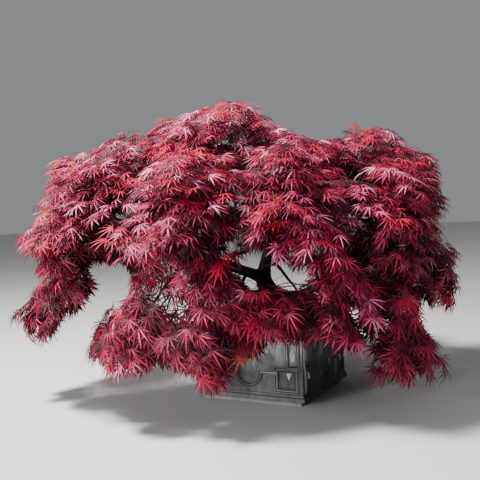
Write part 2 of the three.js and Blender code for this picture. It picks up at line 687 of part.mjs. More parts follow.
// How a leaf hangs: out from the tree and down, more or less along its twig, with its face turned outward.
function leafPose(base, direction, turn, attempt, draw) {
  const outward = new THREE.Vector3(base.x, base.y * DEPTH_SHARE, 0).normalize();
  const along = direction.clone().setZ(0).normalize();
  along.applyAxisAngle(UP, turn + eitherWay(HANG.swing + HANG.swingMore * attempt, draw));
  along.addScaledVector(outward, HANG.outward);
  along.z -= between(HANG.down, draw);
  along.normalize();
  const up = new THREE.Vector3(outward.x, outward.y, between(HANG.faceUp, draw));
  up.x += eitherWay(HANG.uneven, draw);
  up.y += eitherWay(HANG.uneven, draw);
  up.addScaledVector(along, -along.dot(up)).normalize();
  const length = LEAF.length * between(HANG.size, draw) * (1 - HANG.shrink * attempt);
  return { along, up, length };
}

// The arching stem of a mass, from a gap beyond the tip of its limb.
function massStem({ to, rise }, limb) {
  const tipDirection = limb.curve.getTangent(1);
  const start = limb.curve.getPoint(1).addScaledVector(tipDirection, GAP);
  const end = place(to);
  const lead = STEM_LEAD * start.distanceTo(end);
  const bend = start.clone().lerp(end, STEM_BEND).addScaledVector(tipDirection, lead);
  bend.z += rise;
  return new THREE.CubicBezierCurve3(start, start.clone().addScaledVector(tipDirection, lead), bend, end);
}

// One try at a twig that leaves a stem at a foot: it spreads to one side, rises a little and arches down.
function twigCurve(stem, along, angle, wide, attempt, draw) {
  const foot = stem.getPoint(along);
  const forward = stem.getTangent(along);
  const sideways = new THREE.Vector3(-forward.y, forward.x, 0);
  if (sideways.length() < UPRIGHT_AT) sideways.set(1, 0, 0);
  sideways.normalize();
  const upright = new THREE.Vector3().crossVectors(forward, sideways).normalize();
  const roll = angle + eitherWay(SPREAD.roll + SPREAD.rollMore * attempt, draw);
  const away = between(SPREAD.away, draw);
  const direction = forward.clone().multiplyScalar(Math.cos(away));
  direction.addScaledVector(sideways, Math.sin(away) * Math.cos(roll));
  direction.addScaledVector(upright, Math.sin(away) * Math.sin(roll));
  direction.z *= SPREAD.flat;
  direction.normalize();
  const share = (1 - SPREAD.shorter * along) * (1 - SPREAD.shrink * attempt);
  const length = wide * share * between(SPREAD.size, draw);
  const middle = foot.clone().addScaledVector(direction, SPREAD.mid * length);
  middle.z += SPREAD.arch * length;
  const tip = foot.clone().addScaledVector(direction, length);
  tip.z -= SPREAD.drop * length;
  return { direction, curve: new THREE.QuadraticBezierCurve3(foot, middle, tip) };
}

// Where along its stem the twigs of a mass leave it.
function twigNodes({ twigs }) {
  return Array.from({ length: twigs }, (_, i) => TWIGS_FROM + ((TWIGS_TO - TWIGS_FROM) * i) / (twigs - 1));
}

// One mass: an arching stem with a leaf at its end, twigs that fan out from its collars with a leaf at each
// tip and two at each collar, and a leaf beside every second twig.
function growMass({ wide, round = Math.PI }, { stem, nodes, stemTaken }, space, draw) {
  const skin = new Skin();
  const first = skin.firstRing(stem.getPoint(0), stem.getTangent(0), STEM_THICK[0]);
  const { end, collars } = growTube(skin, stem, first, nodes, STEM_THICK);
  addEndLeaf(skin, end, stem, space, stemTaken, draw);
  nodes.forEach((along, i) => {
    for (let attempt = 0; attempt < TWIG_TRIES; attempt++) {
      const { direction, curve } = twigCurve(stem, along, i * round, wide, attempt, draw);
      const from = TWIG_FOOT / curve.getLength();
      const lone = loneTube(curve, [TWIG_NODE], TWIG_THICK, from);
      if (!space.admits(lone, [curve.v0, curve.v1, curve.v2], 0)) continue;
      const taken = space.take(lone);
      const twig = growTube(skin, curve, skin.open(collars[i], direction), [TWIG_NODE], TWIG_THICK, from);
      addEndLeaf(skin, twig.end, curve, space, taken, draw);
      for (const turn of [SIDE_TURN, -SIDE_TURN]) {
        const [middle, ahead] = [curve.getPoint(TWIG_NODE), curve.getTangent(TWIG_NODE)];
        addSideLeaf(skin, twig.collars[0], middle, ahead, turn, TWIG_THICK[0], space, draw);
      }
      break;
    }
    if (i % 2 === 0) return;
    const [beside, ahead] = [stem.getPoint(along), stem.getTangent(along)];
    addSideLeaf(skin, collars[i], beside, ahead, SIDE_TURN, STEM_THICK[0], space, draw);
  });
  return skin.solid();
}

// Grows a mass, and grows it again with other draws if its finished skin touches a mass that is there.
function growClear(mass, carrier, space, grown, seed) {
  const before = space.taken.length;
  for (let retry = 0; ; retry++) {
    const solid = growMass(mass, carrier, space, seededDraws(seed + RETRY_STEP * retry));
    if (retry === RETRIES || grown.every((other) => isClear(solid, other))) return solid;
    space.taken.length = before;
  }
}

const planter = makePlanter();
const maple = new THREE.Group();
for (const [name, solid] of Object.entries(planter)) {
  maple.add(meshOf(solid, name, name === 'soil' ? EARTH : CAST));
}

const tree = new THREE.Group();
tree.rotation.z = TURN;
maple.add(tree);
const limbs = growLimbs();
for (const [name, { solid }] of limbs) tree.add(meshOf(solid, name, BARK));

// The room that the planter takes, turned into the tree's directions
const planterRoom = solidOf(new THREE.BoxGeometry(RIM_SIDE + 2 * SKIN, RIM_SIDE + 2 * SKIN, RIM_TOP))
  .translate([0, 0, RIM_TOP / 2 + SKIN])
  .rotate([0, 0, -THREE.MathUtils.radToDeg(TURN)]);
const obstacles = [...limbs.values(), { skin: planterRoom, box: planterRoom.boundingBox() }];

// Every stem takes its place before anything grows on one
const carriers = MASSES.map((mass) => {
  const stem = massStem(mass, limbs.get(mass.limb));
  const nodes = twigNodes(mass);
  const skin = loneTube(stem, nodes, STEM_THICK);
  return { stem, nodes, middle: stem.getPoint(MIDDLE_AT), stemTaken: { skin, box: skin.boundingBox() } };
});
const taken = carriers.map(({ stemTaken }) => stemTaken);
const grown = [];
MASSES.forEach((mass, i) => {
  const others = carriers.filter((_, k) => k !== i).map(({ middle }) => middle);
  const space = new Space(carriers[i].middle, others, obstacles, taken);
  const { seed = 1 + i } = mass;
  const solid = growClear(mass, carriers[i], space, grown, seed);
  grown.push({ skin: solid, box: solid.boundingBox() });
  tree.add(meshOf(solid, mass.name, { ...FOLIAGE, color: REDS[i % REDS.length] }));
});

export default maple;
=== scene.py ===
import copy
import math

import bpy
import numpy as np
from mathutils import Matrix, Vector, noise
from mathutils.kdtree import KDTree


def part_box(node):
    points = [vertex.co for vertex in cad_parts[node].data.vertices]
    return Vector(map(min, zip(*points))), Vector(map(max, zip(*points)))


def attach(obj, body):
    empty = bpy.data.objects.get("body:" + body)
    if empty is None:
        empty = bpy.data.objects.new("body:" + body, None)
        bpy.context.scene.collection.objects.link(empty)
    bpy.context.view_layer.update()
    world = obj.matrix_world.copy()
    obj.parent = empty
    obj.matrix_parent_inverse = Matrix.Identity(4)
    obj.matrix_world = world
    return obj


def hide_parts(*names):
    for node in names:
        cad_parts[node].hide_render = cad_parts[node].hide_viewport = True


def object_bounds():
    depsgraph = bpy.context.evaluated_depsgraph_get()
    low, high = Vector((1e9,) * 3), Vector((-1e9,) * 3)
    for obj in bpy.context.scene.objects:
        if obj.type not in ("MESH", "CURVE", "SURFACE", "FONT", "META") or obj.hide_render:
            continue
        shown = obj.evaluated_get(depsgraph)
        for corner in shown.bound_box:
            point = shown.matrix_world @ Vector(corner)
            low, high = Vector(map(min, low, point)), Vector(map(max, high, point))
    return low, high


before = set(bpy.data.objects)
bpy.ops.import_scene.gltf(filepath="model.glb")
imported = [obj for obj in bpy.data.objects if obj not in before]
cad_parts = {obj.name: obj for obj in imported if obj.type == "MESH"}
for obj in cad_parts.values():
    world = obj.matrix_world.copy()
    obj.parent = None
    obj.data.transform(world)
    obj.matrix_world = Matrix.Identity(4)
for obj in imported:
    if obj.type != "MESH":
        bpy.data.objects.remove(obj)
cad_low, cad_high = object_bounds()


# The planter's foot, plinth and rim: plain square mouldings of cast stone, mitred at the corners and bedded
# on each other. The foot is set back and throws a shadow line, the plinth has a cavetto, and the rim is a
# thick lip over a second cavetto. Sizes here and for the body are in millimetres.
MM = 0.001
FOOT_HALF, FOOT_TOP = 295, 24.7
PLINTH_HALF, PLINTH_LOW, PLINTH_TOP = 325, 25, 63
PLINTH_STEP, STEP_IN, STEP_UP = 46, 6, 3  # where the plinth's plain edge ends, and the slope above it
NECK_OUT = 1  # how far the top of the plinth stands out from the body
BODY_HALF, BODY_LOW, BODY_TOP = 315, 63.3, 490
WALL, FLOOR_TOP = 35, 103
INSIDE = BODY_HALF - WALL
RIM_HALF, RIM_LOW, RIM_TOP = 334, 490.3, 530
FILLET_OUT, FILLET_HIGH = 4, 6  # the plain edge under the rim's cavetto: out from the body, and its height
LIP_IN, LIP_HOLLOW, LIP_LOW = 3, 19, 21  # where the cavetto meets the lip, and where the lip's face starts
MOUTH_IN, MOUTH_DOWN = 1, 5  # how the lip's inner edge is worn
FOOT_SEAT, SEAT = 40, 60  # how far in the flat faces run that other pieces hide
ARRIS = 3.5  # radius of the worn corners that run up the planter
SOFTENED = 2.2  # how far a moulding's own edges are rounded off
EASED_SHARE = 0.45  # the most of an edge that the rounding at one of its ends takes
CORNER_STEPS = 4
# The casting's skin: its mottle, what rain has washed and drips have stained, a darker tone low down, the
# rubbed edges, painted shade with dirt in the hollows, and painted shade with algae on the side toward +X,
# away from the light
MOTTLE = ((0.36, (0.22, 0.228, 0.234)), (0.5, (0.54, 0.555, 0.564)), (0.64, (0.76, 0.78, 0.79)))
WASHED, STAINED, FOOT_DARK = (0.80, 0.81, 0.815), (0.060, 0.063, 0.062), (0.052, 0.055, 0.058)
# The rubbed edges, the hollows painted near black as shade with dirt, and the side toward +X painted dark as
# shade with algae
RUBBED, HOLLOW_SHADE_AND_DIRT, ALGAE_AND_SHADE = (0.46, 0.47, 0.475), (0.010, 0.011, 0.010), (0.022, 0.024, 0.023)


def feed(tree, socket, value):
    """Links a socket to what it is fed from, or sets its value."""
    if isinstance(value, bpy.types.NodeSocket):
        tree.links.new(value, socket)
    else:
        socket.default_value = value


def node(tree, kind, inputs=None, **settings):
    made = tree.nodes.new(kind)
    for key, value in settings.items():
        setattr(made, key, value)
    for key, value in (inputs or {}).items():
        feed(tree, made.inputs[key], value)
    return made


def ramp(tree, factor, stops):
    made = node(tree, "ShaderNodeValToRGB", {"Fac": factor})
    while len(made.color_ramp.elements) < len(stops):
        made.color_ramp.elements.new(0.5)
    for element, (position, colour) in zip(made.color_ramp.elements, stops):
        element.position = position
        element.color = (*colour, 1) if isinstance(colour, tuple) else (colour, colour, colour, 1)
    return made.outputs["Color"]


def blended(tree, how, share, below, above):
    made = node(tree, "ShaderNodeMix", data_type="RGBA", blend_type=how)
    for number, value in ((0, share), (6, below), (7, above)):
        feed(tree, made.inputs[number], (*value, 1) if isinstance(value, tuple) else value)
    return made.outputs[2]


def clouds(tree, stretch, scale, detail=5.0, roughness=0.6):
    spot = node(tree, "ShaderNodeTexCoord").outputs["Object"]
    stretched = node(tree, "ShaderNodeMapping", {"Vector": spot, "Scale": stretch}).outputs["Vector"]
    settings = {"Vector": stretched, "Scale": scale, "Detail": detail, "Roughness": roughness}
    return node(tree, "ShaderNodeTexNoise", settings).outputs["Fac"]


def new_finish(name):
    material = bpy.data.materials.new(name)
    material.use_nodes = True
    return material, material.node_tree, material.node_tree.nodes["Principled BSDF"]


def coat(tree, shader, colour, roughness, normal):
    feed(tree, shader.inputs["Base Color"], colour)
    feed(tree, shader.inputs["Roughness"], roughness)
    feed(tree, shader.inputs["Normal"], normal)


def bumps(tree, height, strength, deep, under=None):
    """The normals of bumps that a texture draws, laid over other bumps if those are given."""
    inputs = {"Height": height, "Strength": strength, "Distance": deep}
    if under is not None:
        inputs["Normal"] = under
    return node(tree, "ShaderNodeBump", inputs).outputs["Normal"]


def one_axis(tree, vector, axis):
    return node(tree, "ShaderNodeSeparateXYZ", {"Vector": vector}).outputs[axis]


def painted_shade_side(tree, colour):
    """The side toward +X, turned from the light, is painted dark as shade and as algae, but for some streaks.
    """
    facing = one_axis(tree, node(tree, "ShaderNodeNewGeometry").outputs["Normal"], "X")
    turned_away = ramp(tree, facing, [(0.3, 0.0), (0.85, 0.86)])
    washed_off = ramp(tree, clouds(tree, (1, 1, 0.1), 30.0, detail=4.0), [(0.54, 1.0), (0.70, 0.35)])
    share = blended(tree, "MULTIPLY", 1.0, turned_away, washed_off)
    return blended(tree, "MIX", share, colour, ALGAE_AND_SHADE)


def cast_finish():
    """A grey casting that has stood outdoors for years, streaked by rain and worn, with painted shade and
    dirt in its hollows, and painted shade and algae on its side toward +X.
    """
    material, tree, shader = new_finish("weathered_casting")
    mottle = ramp(tree, clouds(tree, (1, 1, 0.8), 13.0, detail=8.0), MOTTLE)
    streaks = ramp(tree, clouds(tree, (1, 1, 0.4), 15.0, detail=6.0), [(0.47, 0.0), (0.66, 1.0)])
    washed = blended(tree, "MIX", streaks, mottle, WASHED)
    drips = ramp(tree, clouds(tree, (1, 1, 0.1), 48.0, detail=4.0), [(0.5, 0.0), (0.66, 0.78)])
    stained = blended(tree, "MIX", drips, washed, STAINED)
    height = one_axis(tree, node(tree, "ShaderNodeTexCoord").outputs["Object"], "Z")
    uneven = node(tree, "ShaderNodeMath", {0: clouds(tree, (1, 1, 1), 7.0), 1: 0.22, 2: height},
                  operation="MULTIPLY_ADD").outputs["Value"]
    # Darker low down on the planter, with a ragged upper edge
    darker_low = blended(tree, "MIX", ramp(tree, uneven, [(0.29, 0.92), (0.42, 0.0)]), stained, FOOT_DARK)
    edge = node(tree, "ShaderNodeNewGeometry").outputs["Pointiness"]
    rubbed = blended(tree, "MIX", ramp(tree, edge, [(0.55, 0.0), (0.61, 0.8)]), darker_low, RUBBED)
    # The hollows painted near black: painted shade, with dirt
    shaded_and_dirty = blended(tree, "MIX", ramp(tree, edge, [(0.46, 0.85), (0.52, 0.0)]), rubbed, HOLLOW_SHADE_AND_DIRT)
    dull = ramp(tree, clouds(tree, (1, 1, 1), 22.0), [(0.35, 0.52), (0.65, 0.86)])
    pitted = bumps(tree, clouds(tree, (1, 1, 1), 190.0, detail=4.0), 0.35, 0.0016)
    dented = bumps(tree, clouds(tree, (1, 1, 1), 18.0, detail=3.0), 0.5, 0.006, pitted)
    coat(tree, shader, painted_shade_side(tree, shaded_and_dirty), dull, dented)
    return material


def eased(outline, radius, closed):
    """The outline with each corner replaced by a short curve."""
    soft = []
    last = len(outline) - 1
    for i, corner in enumerate(outline):
        if not closed and i in (0, last):
            soft.append(corner)
            continue
        here = np.array(corner, float)
        before = np.array(outline[i - 1], float) - here
        after = np.array(outline[(i + 1) % len(outline)], float) - here
        reach_in = min(radius, EASED_SHARE * np.linalg.norm(before))
        reach_out = min(radius, EASED_SHARE * np.linalg.norm(after))
        start = here + before / np.linalg.norm(before) * reach_in
        end = here + after / np.linalg.norm(after) * reach_out
        for t in (0.0, 0.25, 0.5, 0.75, 1.0):
            soft.append(tuple((1 - t) ** 2 * start + 2 * t * (1 - t) * here + t * t * end))
    return soft


def cavetto(start, end, steps=5):
    """A hollow quarter curve from one point of a profile, rising to another."""
    (x0, z0), (x1, z1) = start, end
    turns = [math.pi / 2 * i / steps for i in range(1, steps)]
    return [(x0 + (x1 - x0) * (1 - math.cos(t)), z0 + (z1 - z0) * math.sin(t)) for t in turns]


def square_ring(half, height):
    """One level of a moulding: a square with worn corners."""
    ring = []
    for corner in range(4):
        for step in range(CORNER_STEPS + 1):
            turn = math.pi / 2 * (corner + step / CORNER_STEPS)
            middle = math.pi / 2 * corner + math.pi / 4
            x = (half - ARRIS) * math.sqrt(2) * math.cos(middle) + ARRIS * math.cos(turn)
            y = (half - ARRIS) * math.sqrt(2) * math.sin(middle) + ARRIS * math.sin(turn)
            ring.append((x * MM, y * MM, height * MM))
    return ring


def ring_faces(count, size, closed=False, start=0):
    """The faces between rings of points that follow each other, with one over each end of an open row."""
    faces = []
    for ring in range(count if closed else count - 1):
        low, high = start + ring * size, start + (ring + 1) % count * size
        for i in range(size):
            k = (i + 1) % size
            faces.append((low + i, low + k, high + k, high + i))
    if not closed:
        faces.append(tuple(start + i for i in reversed(range(size))))
        faces.append(tuple(start + (count - 1) * size + i for i in range(size)))
    return faces


def moulding(profile, closed):
    """Points and faces of a profile carried round the square. An open one is closed by its two ends."""
    points = [point for half, height in profile for point in square_ring(half, height)]
    return points, ring_faces(len(profile), 4 * (CORNER_STEPS + 1), closed)


def placed(name, data):
    made = bpy.data.objects.new(name, data)
    bpy.context.scene.collection.objects.link(made)
    return made


def mesh_piece(name, points, faces, *materials, smooth=math.radians(32)):
    mesh = bpy.data.meshes.new(name)
    mesh.from_pydata([tuple(point) for point in points], [], faces)
    for material in materials:
        mesh.materials.append(material)
    mesh.polygons.foreach_set("use_smooth", [True] * len(mesh.polygons))
    mesh.set_sharp_from_angle(angle=smooth)
    return placed(name, mesh)


CASTING = cast_finish()
foot_edge = [(FOOT_HALF, 0), (FOOT_HALF, FOOT_TOP), (FOOT_HALF - FOOT_SEAT, FOOT_TOP)]
foot_profile = [(FOOT_HALF - SOFTENED, 0), *eased(foot_edge, SOFTENED, False)[1:]]
plinth_step = (PLINTH_HALF - STEP_IN, PLINTH_STEP + STEP_UP)
plinth_neck = (BODY_HALF + NECK_OUT, PLINTH_TOP)
plinth_edge = [(PLINTH_HALF - SEAT, PLINTH_LOW), (PLINTH_HALF, PLINTH_LOW), (PLINTH_HALF, PLINTH_STEP)]
plinth_profile = [
    *eased([*plinth_edge, plinth_step], SOFTENED, False), *cavetto(plinth_step, plinth_neck),
    plinth_neck, (BODY_HALF - SEAT, PLINTH_TOP),
]
rim_fillet = (BODY_HALF + FILLET_OUT, RIM_LOW + FILLET_HIGH)
rim_lip = (RIM_HALF - LIP_IN, RIM_LOW + LIP_HOLLOW)
lip_edge = [
    rim_lip, (RIM_HALF, RIM_LOW + LIP_LOW), (RIM_HALF, RIM_TOP),
    (INSIDE + MOUTH_IN, RIM_TOP), (INSIDE, RIM_TOP - MOUTH_DOWN),
]
rim_profile = [
    *eased([(INSIDE, RIM_LOW), (BODY_HALF + FILLET_OUT, RIM_LOW), rim_fillet], SOFTENED, False),
    *cavetto(rim_fillet, rim_lip), *eased(lip_edge, 2 * SOFTENED, False),
]
for name, solid, profile, closed in (
    ("planter_foot_cast", "planter_foot", foot_profile, False),
    ("planter_plinth_cast", "planter_base", plinth_profile, False),
    ("planter_rim_cast", "planter_rim", rim_profile, True),
):
    piece = mesh_piece(name, *moulding(profile, closed), CASTING)
    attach(piece, "root")
    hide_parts(solid)


# The planter's body: four flat sides cast in one with the floor, each with strapwork in relief, of raised
# bands between two grooves with a thin bead outside. A lobe hangs above and below the plain middle, with a
# framed square at each corner and a tall frame at half height. The bosses in the frames are pale with lime.
PANEL_MIDDLE = 272
STRAP, SUNK = 24, 1.5
# Half a strap: across it, as a share of its half width, and out from the panel
HALF_SECTION = [
    (0.26, 7.4), (0.4, 6.4), (0.48, 1.2), (0.6, 0.6), (0.74, 1.2), (0.84, 5.2), (0.94, 5.0), (1.0, 3.0),
]
BEAD_SECTION = [(-side, out) for side, out in reversed(HALF_SECTION)] + HALF_SECTION
SHARPEST = 0.35  # keeps the mitre of a sharp turn from reaching too far
LOBE_DROP, LOBE_RADIUS, LOBE_STEPS = 100, 73, 22
SHOULDER_END = 165
SQUARE = (155, 293, 66, 201, 28)  # from and to across, low and high from the panel's middle, width of band
COMPARTMENT = (221, 303, -76, 76, 20)
OVAL, OVAL_STEPS = (262, 0, 15, 34), 20  # its middle, half its width and height, and the corners drawn
TRIANGLE, TRIANGLE_SOFT = ((238, 116), 16, 42), 4  # its middle, half width and height, and its round corners
BOSS_HIGH = 7.6
# The rings of a boss: each one's share of its outline, and how far it stands out
BOSS_RINGS = ((1.0, -SUNK), (1.0, 0.3 * BOSS_HIGH), (0.86, 0.72 * BOSS_HIGH), (0.5, BOSS_HIGH))
SHELL_SOFT = 1.2
LIME = ((0.3, (0.62, 0.63, 0.635)), (0.5, (0.84, 0.85, 0.85)), (0.7, (0.92, 0.93, 0.93)))


def limed_finish():
    material, tree, shader = new_finish("limed_boss")
    pale = ramp(tree, clouds(tree, (1, 1, 1), 45.0), LIME)
    pits = bumps(tree, clouds(tree, (1, 1, 1), 190.0), 0.4, 0.0016)
    coat(tree, shader, painted_shade_side(tree, pale), 0.75, pits)
    return material


def strap_along(path, width, closed):
    """A moulded strap along a path on the panel, mitred where the path turns."""
    path = [np.array(point, float) for point in path]
    section = [(side * width / 2, out) for side, out in BEAD_SECTION]
    section = [(section[0][0], -SUNK), *section, (section[-1][0], -SUNK)]
    points = []
    count = len(path)
    for i, here in enumerate(path):
        before = path[i - 1] if closed or i > 0 else 2 * here - path[i + 1]
        after = path[(i + 1) % count] if closed or i < count - 1 else 2 * here - path[i - 1]
        first = (here - before) / np.linalg.norm(here - before)
        second = (after - here) / np.linalg.norm(after - here)
        across = np.array([-first[1] - second[1], first[0] + second[0]])
        across /= np.linalg.norm(across)
        mitre = 1 / max(SHARPEST, across @ np.array([-first[1], first[0]]))
        for side, out in section:
            x, z = here + across * side * mitre
            points.append((x, out, z))
    return points, ring_faces(count, len(section), closed)


def frame_path(left, right, low, high, band):
    inset = band / 2
    return [
        (left + inset, low + inset), (right - inset, low + inset),
        (right - inset, high - inset), (left + inset, high - inset),
    ]


def boss(outline, middle):
    """A low dome over an outline: rings that rise and close in on the middle."""
    points = []
    for share, out in BOSS_RINGS:
        for x, z in outline:
            points.append((middle[0] + (x - middle[0]) * share, out, middle[1] + (z - middle[1]) * share))
    return points, ring_faces(len(BOSS_RINGS), len(outline))


def strapwork():
    """The forms of one side, measured from its middle: each with where it is mirrored to, and its finish."""
    arc = [math.pi * i / LOBE_STEPS for i in range(LOBE_STEPS + 1)]
    lobe = [(LOBE_RADIUS * math.cos(a), LOBE_DROP + LOBE_RADIUS * math.sin(a)) for a in arc]
    lobe = [(SHOULDER_END, LOBE_DROP), *lobe, (-SHOULDER_END, LOBE_DROP)]
    (x, z), half, high = TRIANGLE
    corners = [(x - half, z - high / 2), (x + half, z - high / 2), (x, z + high / 2)]
    oval_x, oval_z, wide, tall = OVAL
    turns = [2 * math.pi * i / OVAL_STEPS for i in range(OVAL_STEPS)]
    oval = [(oval_x + wide * math.cos(a), oval_z + tall * math.sin(a)) for a in turns]
    up_and_down, left_and_right = ((1, 1), (1, -1)), ((1, 1), (-1, 1))
    four_ways = ((1, 1), (-1, 1), (1, -1), (-1, -1))
    return [
        (strap_along(lobe, STRAP, False), up_and_down, 0),
        (strap_along(frame_path(*SQUARE), SQUARE[-1], True), four_ways, 0),
        (strap_along(frame_path(*COMPARTMENT), COMPARTMENT[-1], True), left_and_right, 0),
        (boss(eased(corners, TRIANGLE_SOFT, True), (x, z)), four_ways, 1),
        (boss(oval, (oval_x, oval_z)), left_and_right, 1),
    ]


def planter_body():
    shell = [
        (BODY_HALF - SEAT, BODY_LOW), (BODY_HALF, BODY_LOW), (BODY_HALF, BODY_TOP),
        (INSIDE, BODY_TOP), (INSIDE, FLOOR_TOP),
    ]
    points, faces = moulding(eased(shell, SHELL_SOFT, False), False)
    finishes = [0] * len(faces)
    for (form, form_faces), mirrored, finish in strapwork():
        for across, up in mirrored:
            for side in range(4):
                turn = Matrix.Rotation(math.pi / 2 * side, 3, "Z")
                start = len(points)
                for x, out, z in form:
                    point = Vector((across * x, -BODY_HALF - out, PANEL_MIDDLE + up * z))
                    points.append(turn @ point * MM)
                for face in form_faces:
                    order = face if across * up < 0 else tuple(reversed(face))
                    faces.append(tuple(start + i for i in order))
                    finishes.append(finish)
    return points, faces, finishes


body_points, body_faces, body_finishes = planter_body()
body = mesh_piece("planter_body_cast", body_points, body_faces, CASTING, limed_finish())
body.data.polygons.foreach_set("material_index", body_finishes)
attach(body, "root")
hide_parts("planter_body")


# The soil: dark potting soil that fills the planter to 25 mm below the lip. Its crumbled top rises a little
# round the trunk, and loose crumbs lie on it.
SOIL_TOP = 505
SOIL_GAP, SOIL_BED = 0.6, 0.4  # how far the soil stays off the walls, and off the floor
SOIL_HALF = INSIDE - SOIL_GAP
SOIL_CELLS = 64
SOIL_SUNK, MOUND_HIGH, MOUND_WIDE = 4, 7, 190  # how far the soil has sunk, and how it rises round the trunk
LUMPS = 0.018  # how close the largest lumps of the soil lie
LUMP_KINDS = ((1, 5), (4.1, 2.4), (11, 1.2))  # how much finer each kind of lumps is, and how high
CRUMBS, CRUMBS_IN = 900, 12  # how many crumbs, and how far they stay off the walls
CRUMB_SIZE, CRUMB_MORE = 2.2, 7
CRUMB_LIFT, CRUMB_LEAST, CRUMB_VARIES = 0.3, 0.7, 0.6  # how high a crumb sits, and how uneven it is
ANY_TURN = 6.3
SOIL_SEED = 7
KNOB = [(1, 0, 0), (-1, 0, 0), (0, 1, 0), (0, -1, 0), (0, 0, 1), (0, 0, -1)]
KNOB_SIDES = [(0, 2, 4), (2, 1, 4), (1, 3, 4), (3, 0, 4), (2, 0, 5), (1, 2, 5), (3, 1, 5), (0, 3, 5)]
SOIL_TONES = ((0.3, (0.012, 0.008, 0.006)), (0.55, (0.035, 0.023, 0.016)), (0.75, (0.075, 0.052, 0.036)))


def seeded_draws(seed):
    """Numbers from 0 to 1 in an order set by the seed, the same as in the source of the solids."""
    state = seed & 0xFFFFFFFF

    def draw():
        nonlocal state
        state = (state + 0x6D2B79F5) & 0xFFFFFFFF
        mixed = ((state ^ (state >> 15)) * (1 | state)) & 0xFFFFFFFF
        mixed = ((mixed + ((mixed ^ (mixed >> 7)) * (61 | mixed) & 0xFFFFFFFF)) & 0xFFFFFFFF) ^ mixed
        return ((mixed ^ (mixed >> 14)) & 0xFFFFFFFF) / 4294967296

    return draw


def soil_height(x, y):
    spot = Vector((x, y, 0)) * LUMPS
    height = SOIL_TOP + MOUND_HIGH * math.exp(-(x * x + y * y) / MOUND_WIDE ** 2) - SOIL_SUNK
    for finer, high in LUMP_KINDS:
        height += high * noise.noise(spot * finer)
    return height


def soil_block():
    points, faces = [], []
    across = SOIL_CELLS + 1
    for i in range(across):
        for j in range(across):
            x = SOIL_HALF * (2 * i / SOIL_CELLS - 1)
            y = SOIL_HALF * (2 * j / SOIL_CELLS - 1)
            points.append((x * MM, y * MM, soil_height(x, y) * MM))
    for i in range(SOIL_CELLS):
        for j in range(SOIL_CELLS):
            faces.append((i * across + j, (i + 1) * across + j, (i + 1) * across + j + 1, i * across + j + 1))
    rim = [i * across for i in range(across)]
    rim += [SOIL_CELLS * across + j for j in range(1, across)]
    rim += [i * across + SOIL_CELLS for i in range(SOIL_CELLS - 1, -1, -1)]
    rim += range(SOIL_CELLS - 1, 0, -1)
    start = len(points)
    for i in rim:
        points.append((points[i][0], points[i][1], (FLOOR_TOP + SOIL_BED) * MM))
    for i in range(len(rim)):
        k = (i + 1) % len(rim)
        faces.append((rim[i], start + i, start + k, rim[k]))
    faces.append(tuple(start + i for i in reversed(range(len(rim)))))
    draw = seeded_draws(SOIL_SEED)
    for _ in range(CRUMBS):
        x = (2 * draw() - 1) * (SOIL_HALF - CRUMBS_IN)
        y = (2 * draw() - 1) * (SOIL_HALF - CRUMBS_IN)
        size = CRUMB_SIZE + CRUMB_MORE * draw() ** 3
        middle = Vector((x, y, soil_height(x, y) + CRUMB_LIFT * size))
        turn = Matrix.Rotation(ANY_TURN * draw(), 3, Vector((draw() - 0.5, draw() - 0.5, draw() + 0.1)))
        start = len(points)
        for corner in KNOB:
            out = size * (CRUMB_LEAST + CRUMB_VARIES * draw())
            points.append((middle + turn @ Vector(corner) * out) * MM)
        faces += [tuple(start + i for i in side) for side in KNOB_SIDES]
    return points, faces


def soil_finish():
    material, tree, shader = new_finish("potting_soil")
    dark = ramp(tree, clouds(tree, (1, 1, 1), 60.0), SOIL_TONES)
    coat(tree, shader, dark, 0.95, bumps(tree, clouds(tree, (1, 1, 1), 420.0), 0.8, 0.002))
    return material


soil = mesh_piece("soil_crumbled", *soil_block(), soil_finish(), smooth=math.radians(50))
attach(soil, "root")
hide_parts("soil")


# The trunk and boughs: one living piece of wood, so the limbs are grown together here, with a swelling where
# each one leaves another. Laid out in the tree's own directions, across its broad side, toward the front and
# up, in millimetres, and turned about Z as a whole. The bark is thin and dark, with fine fissures.
TREE_TURN = Matrix.Rotation(math.radians(28), 4, "Z")
TRUNK = {"points": [(6, 0, 475), (-14, 0, 560), (-38, 0, 625), (-50, 0, 690)], "foot": 92, "neck": 42}
BUTTRESSES, BUTTRESS_DEPTH = 5, 0.14
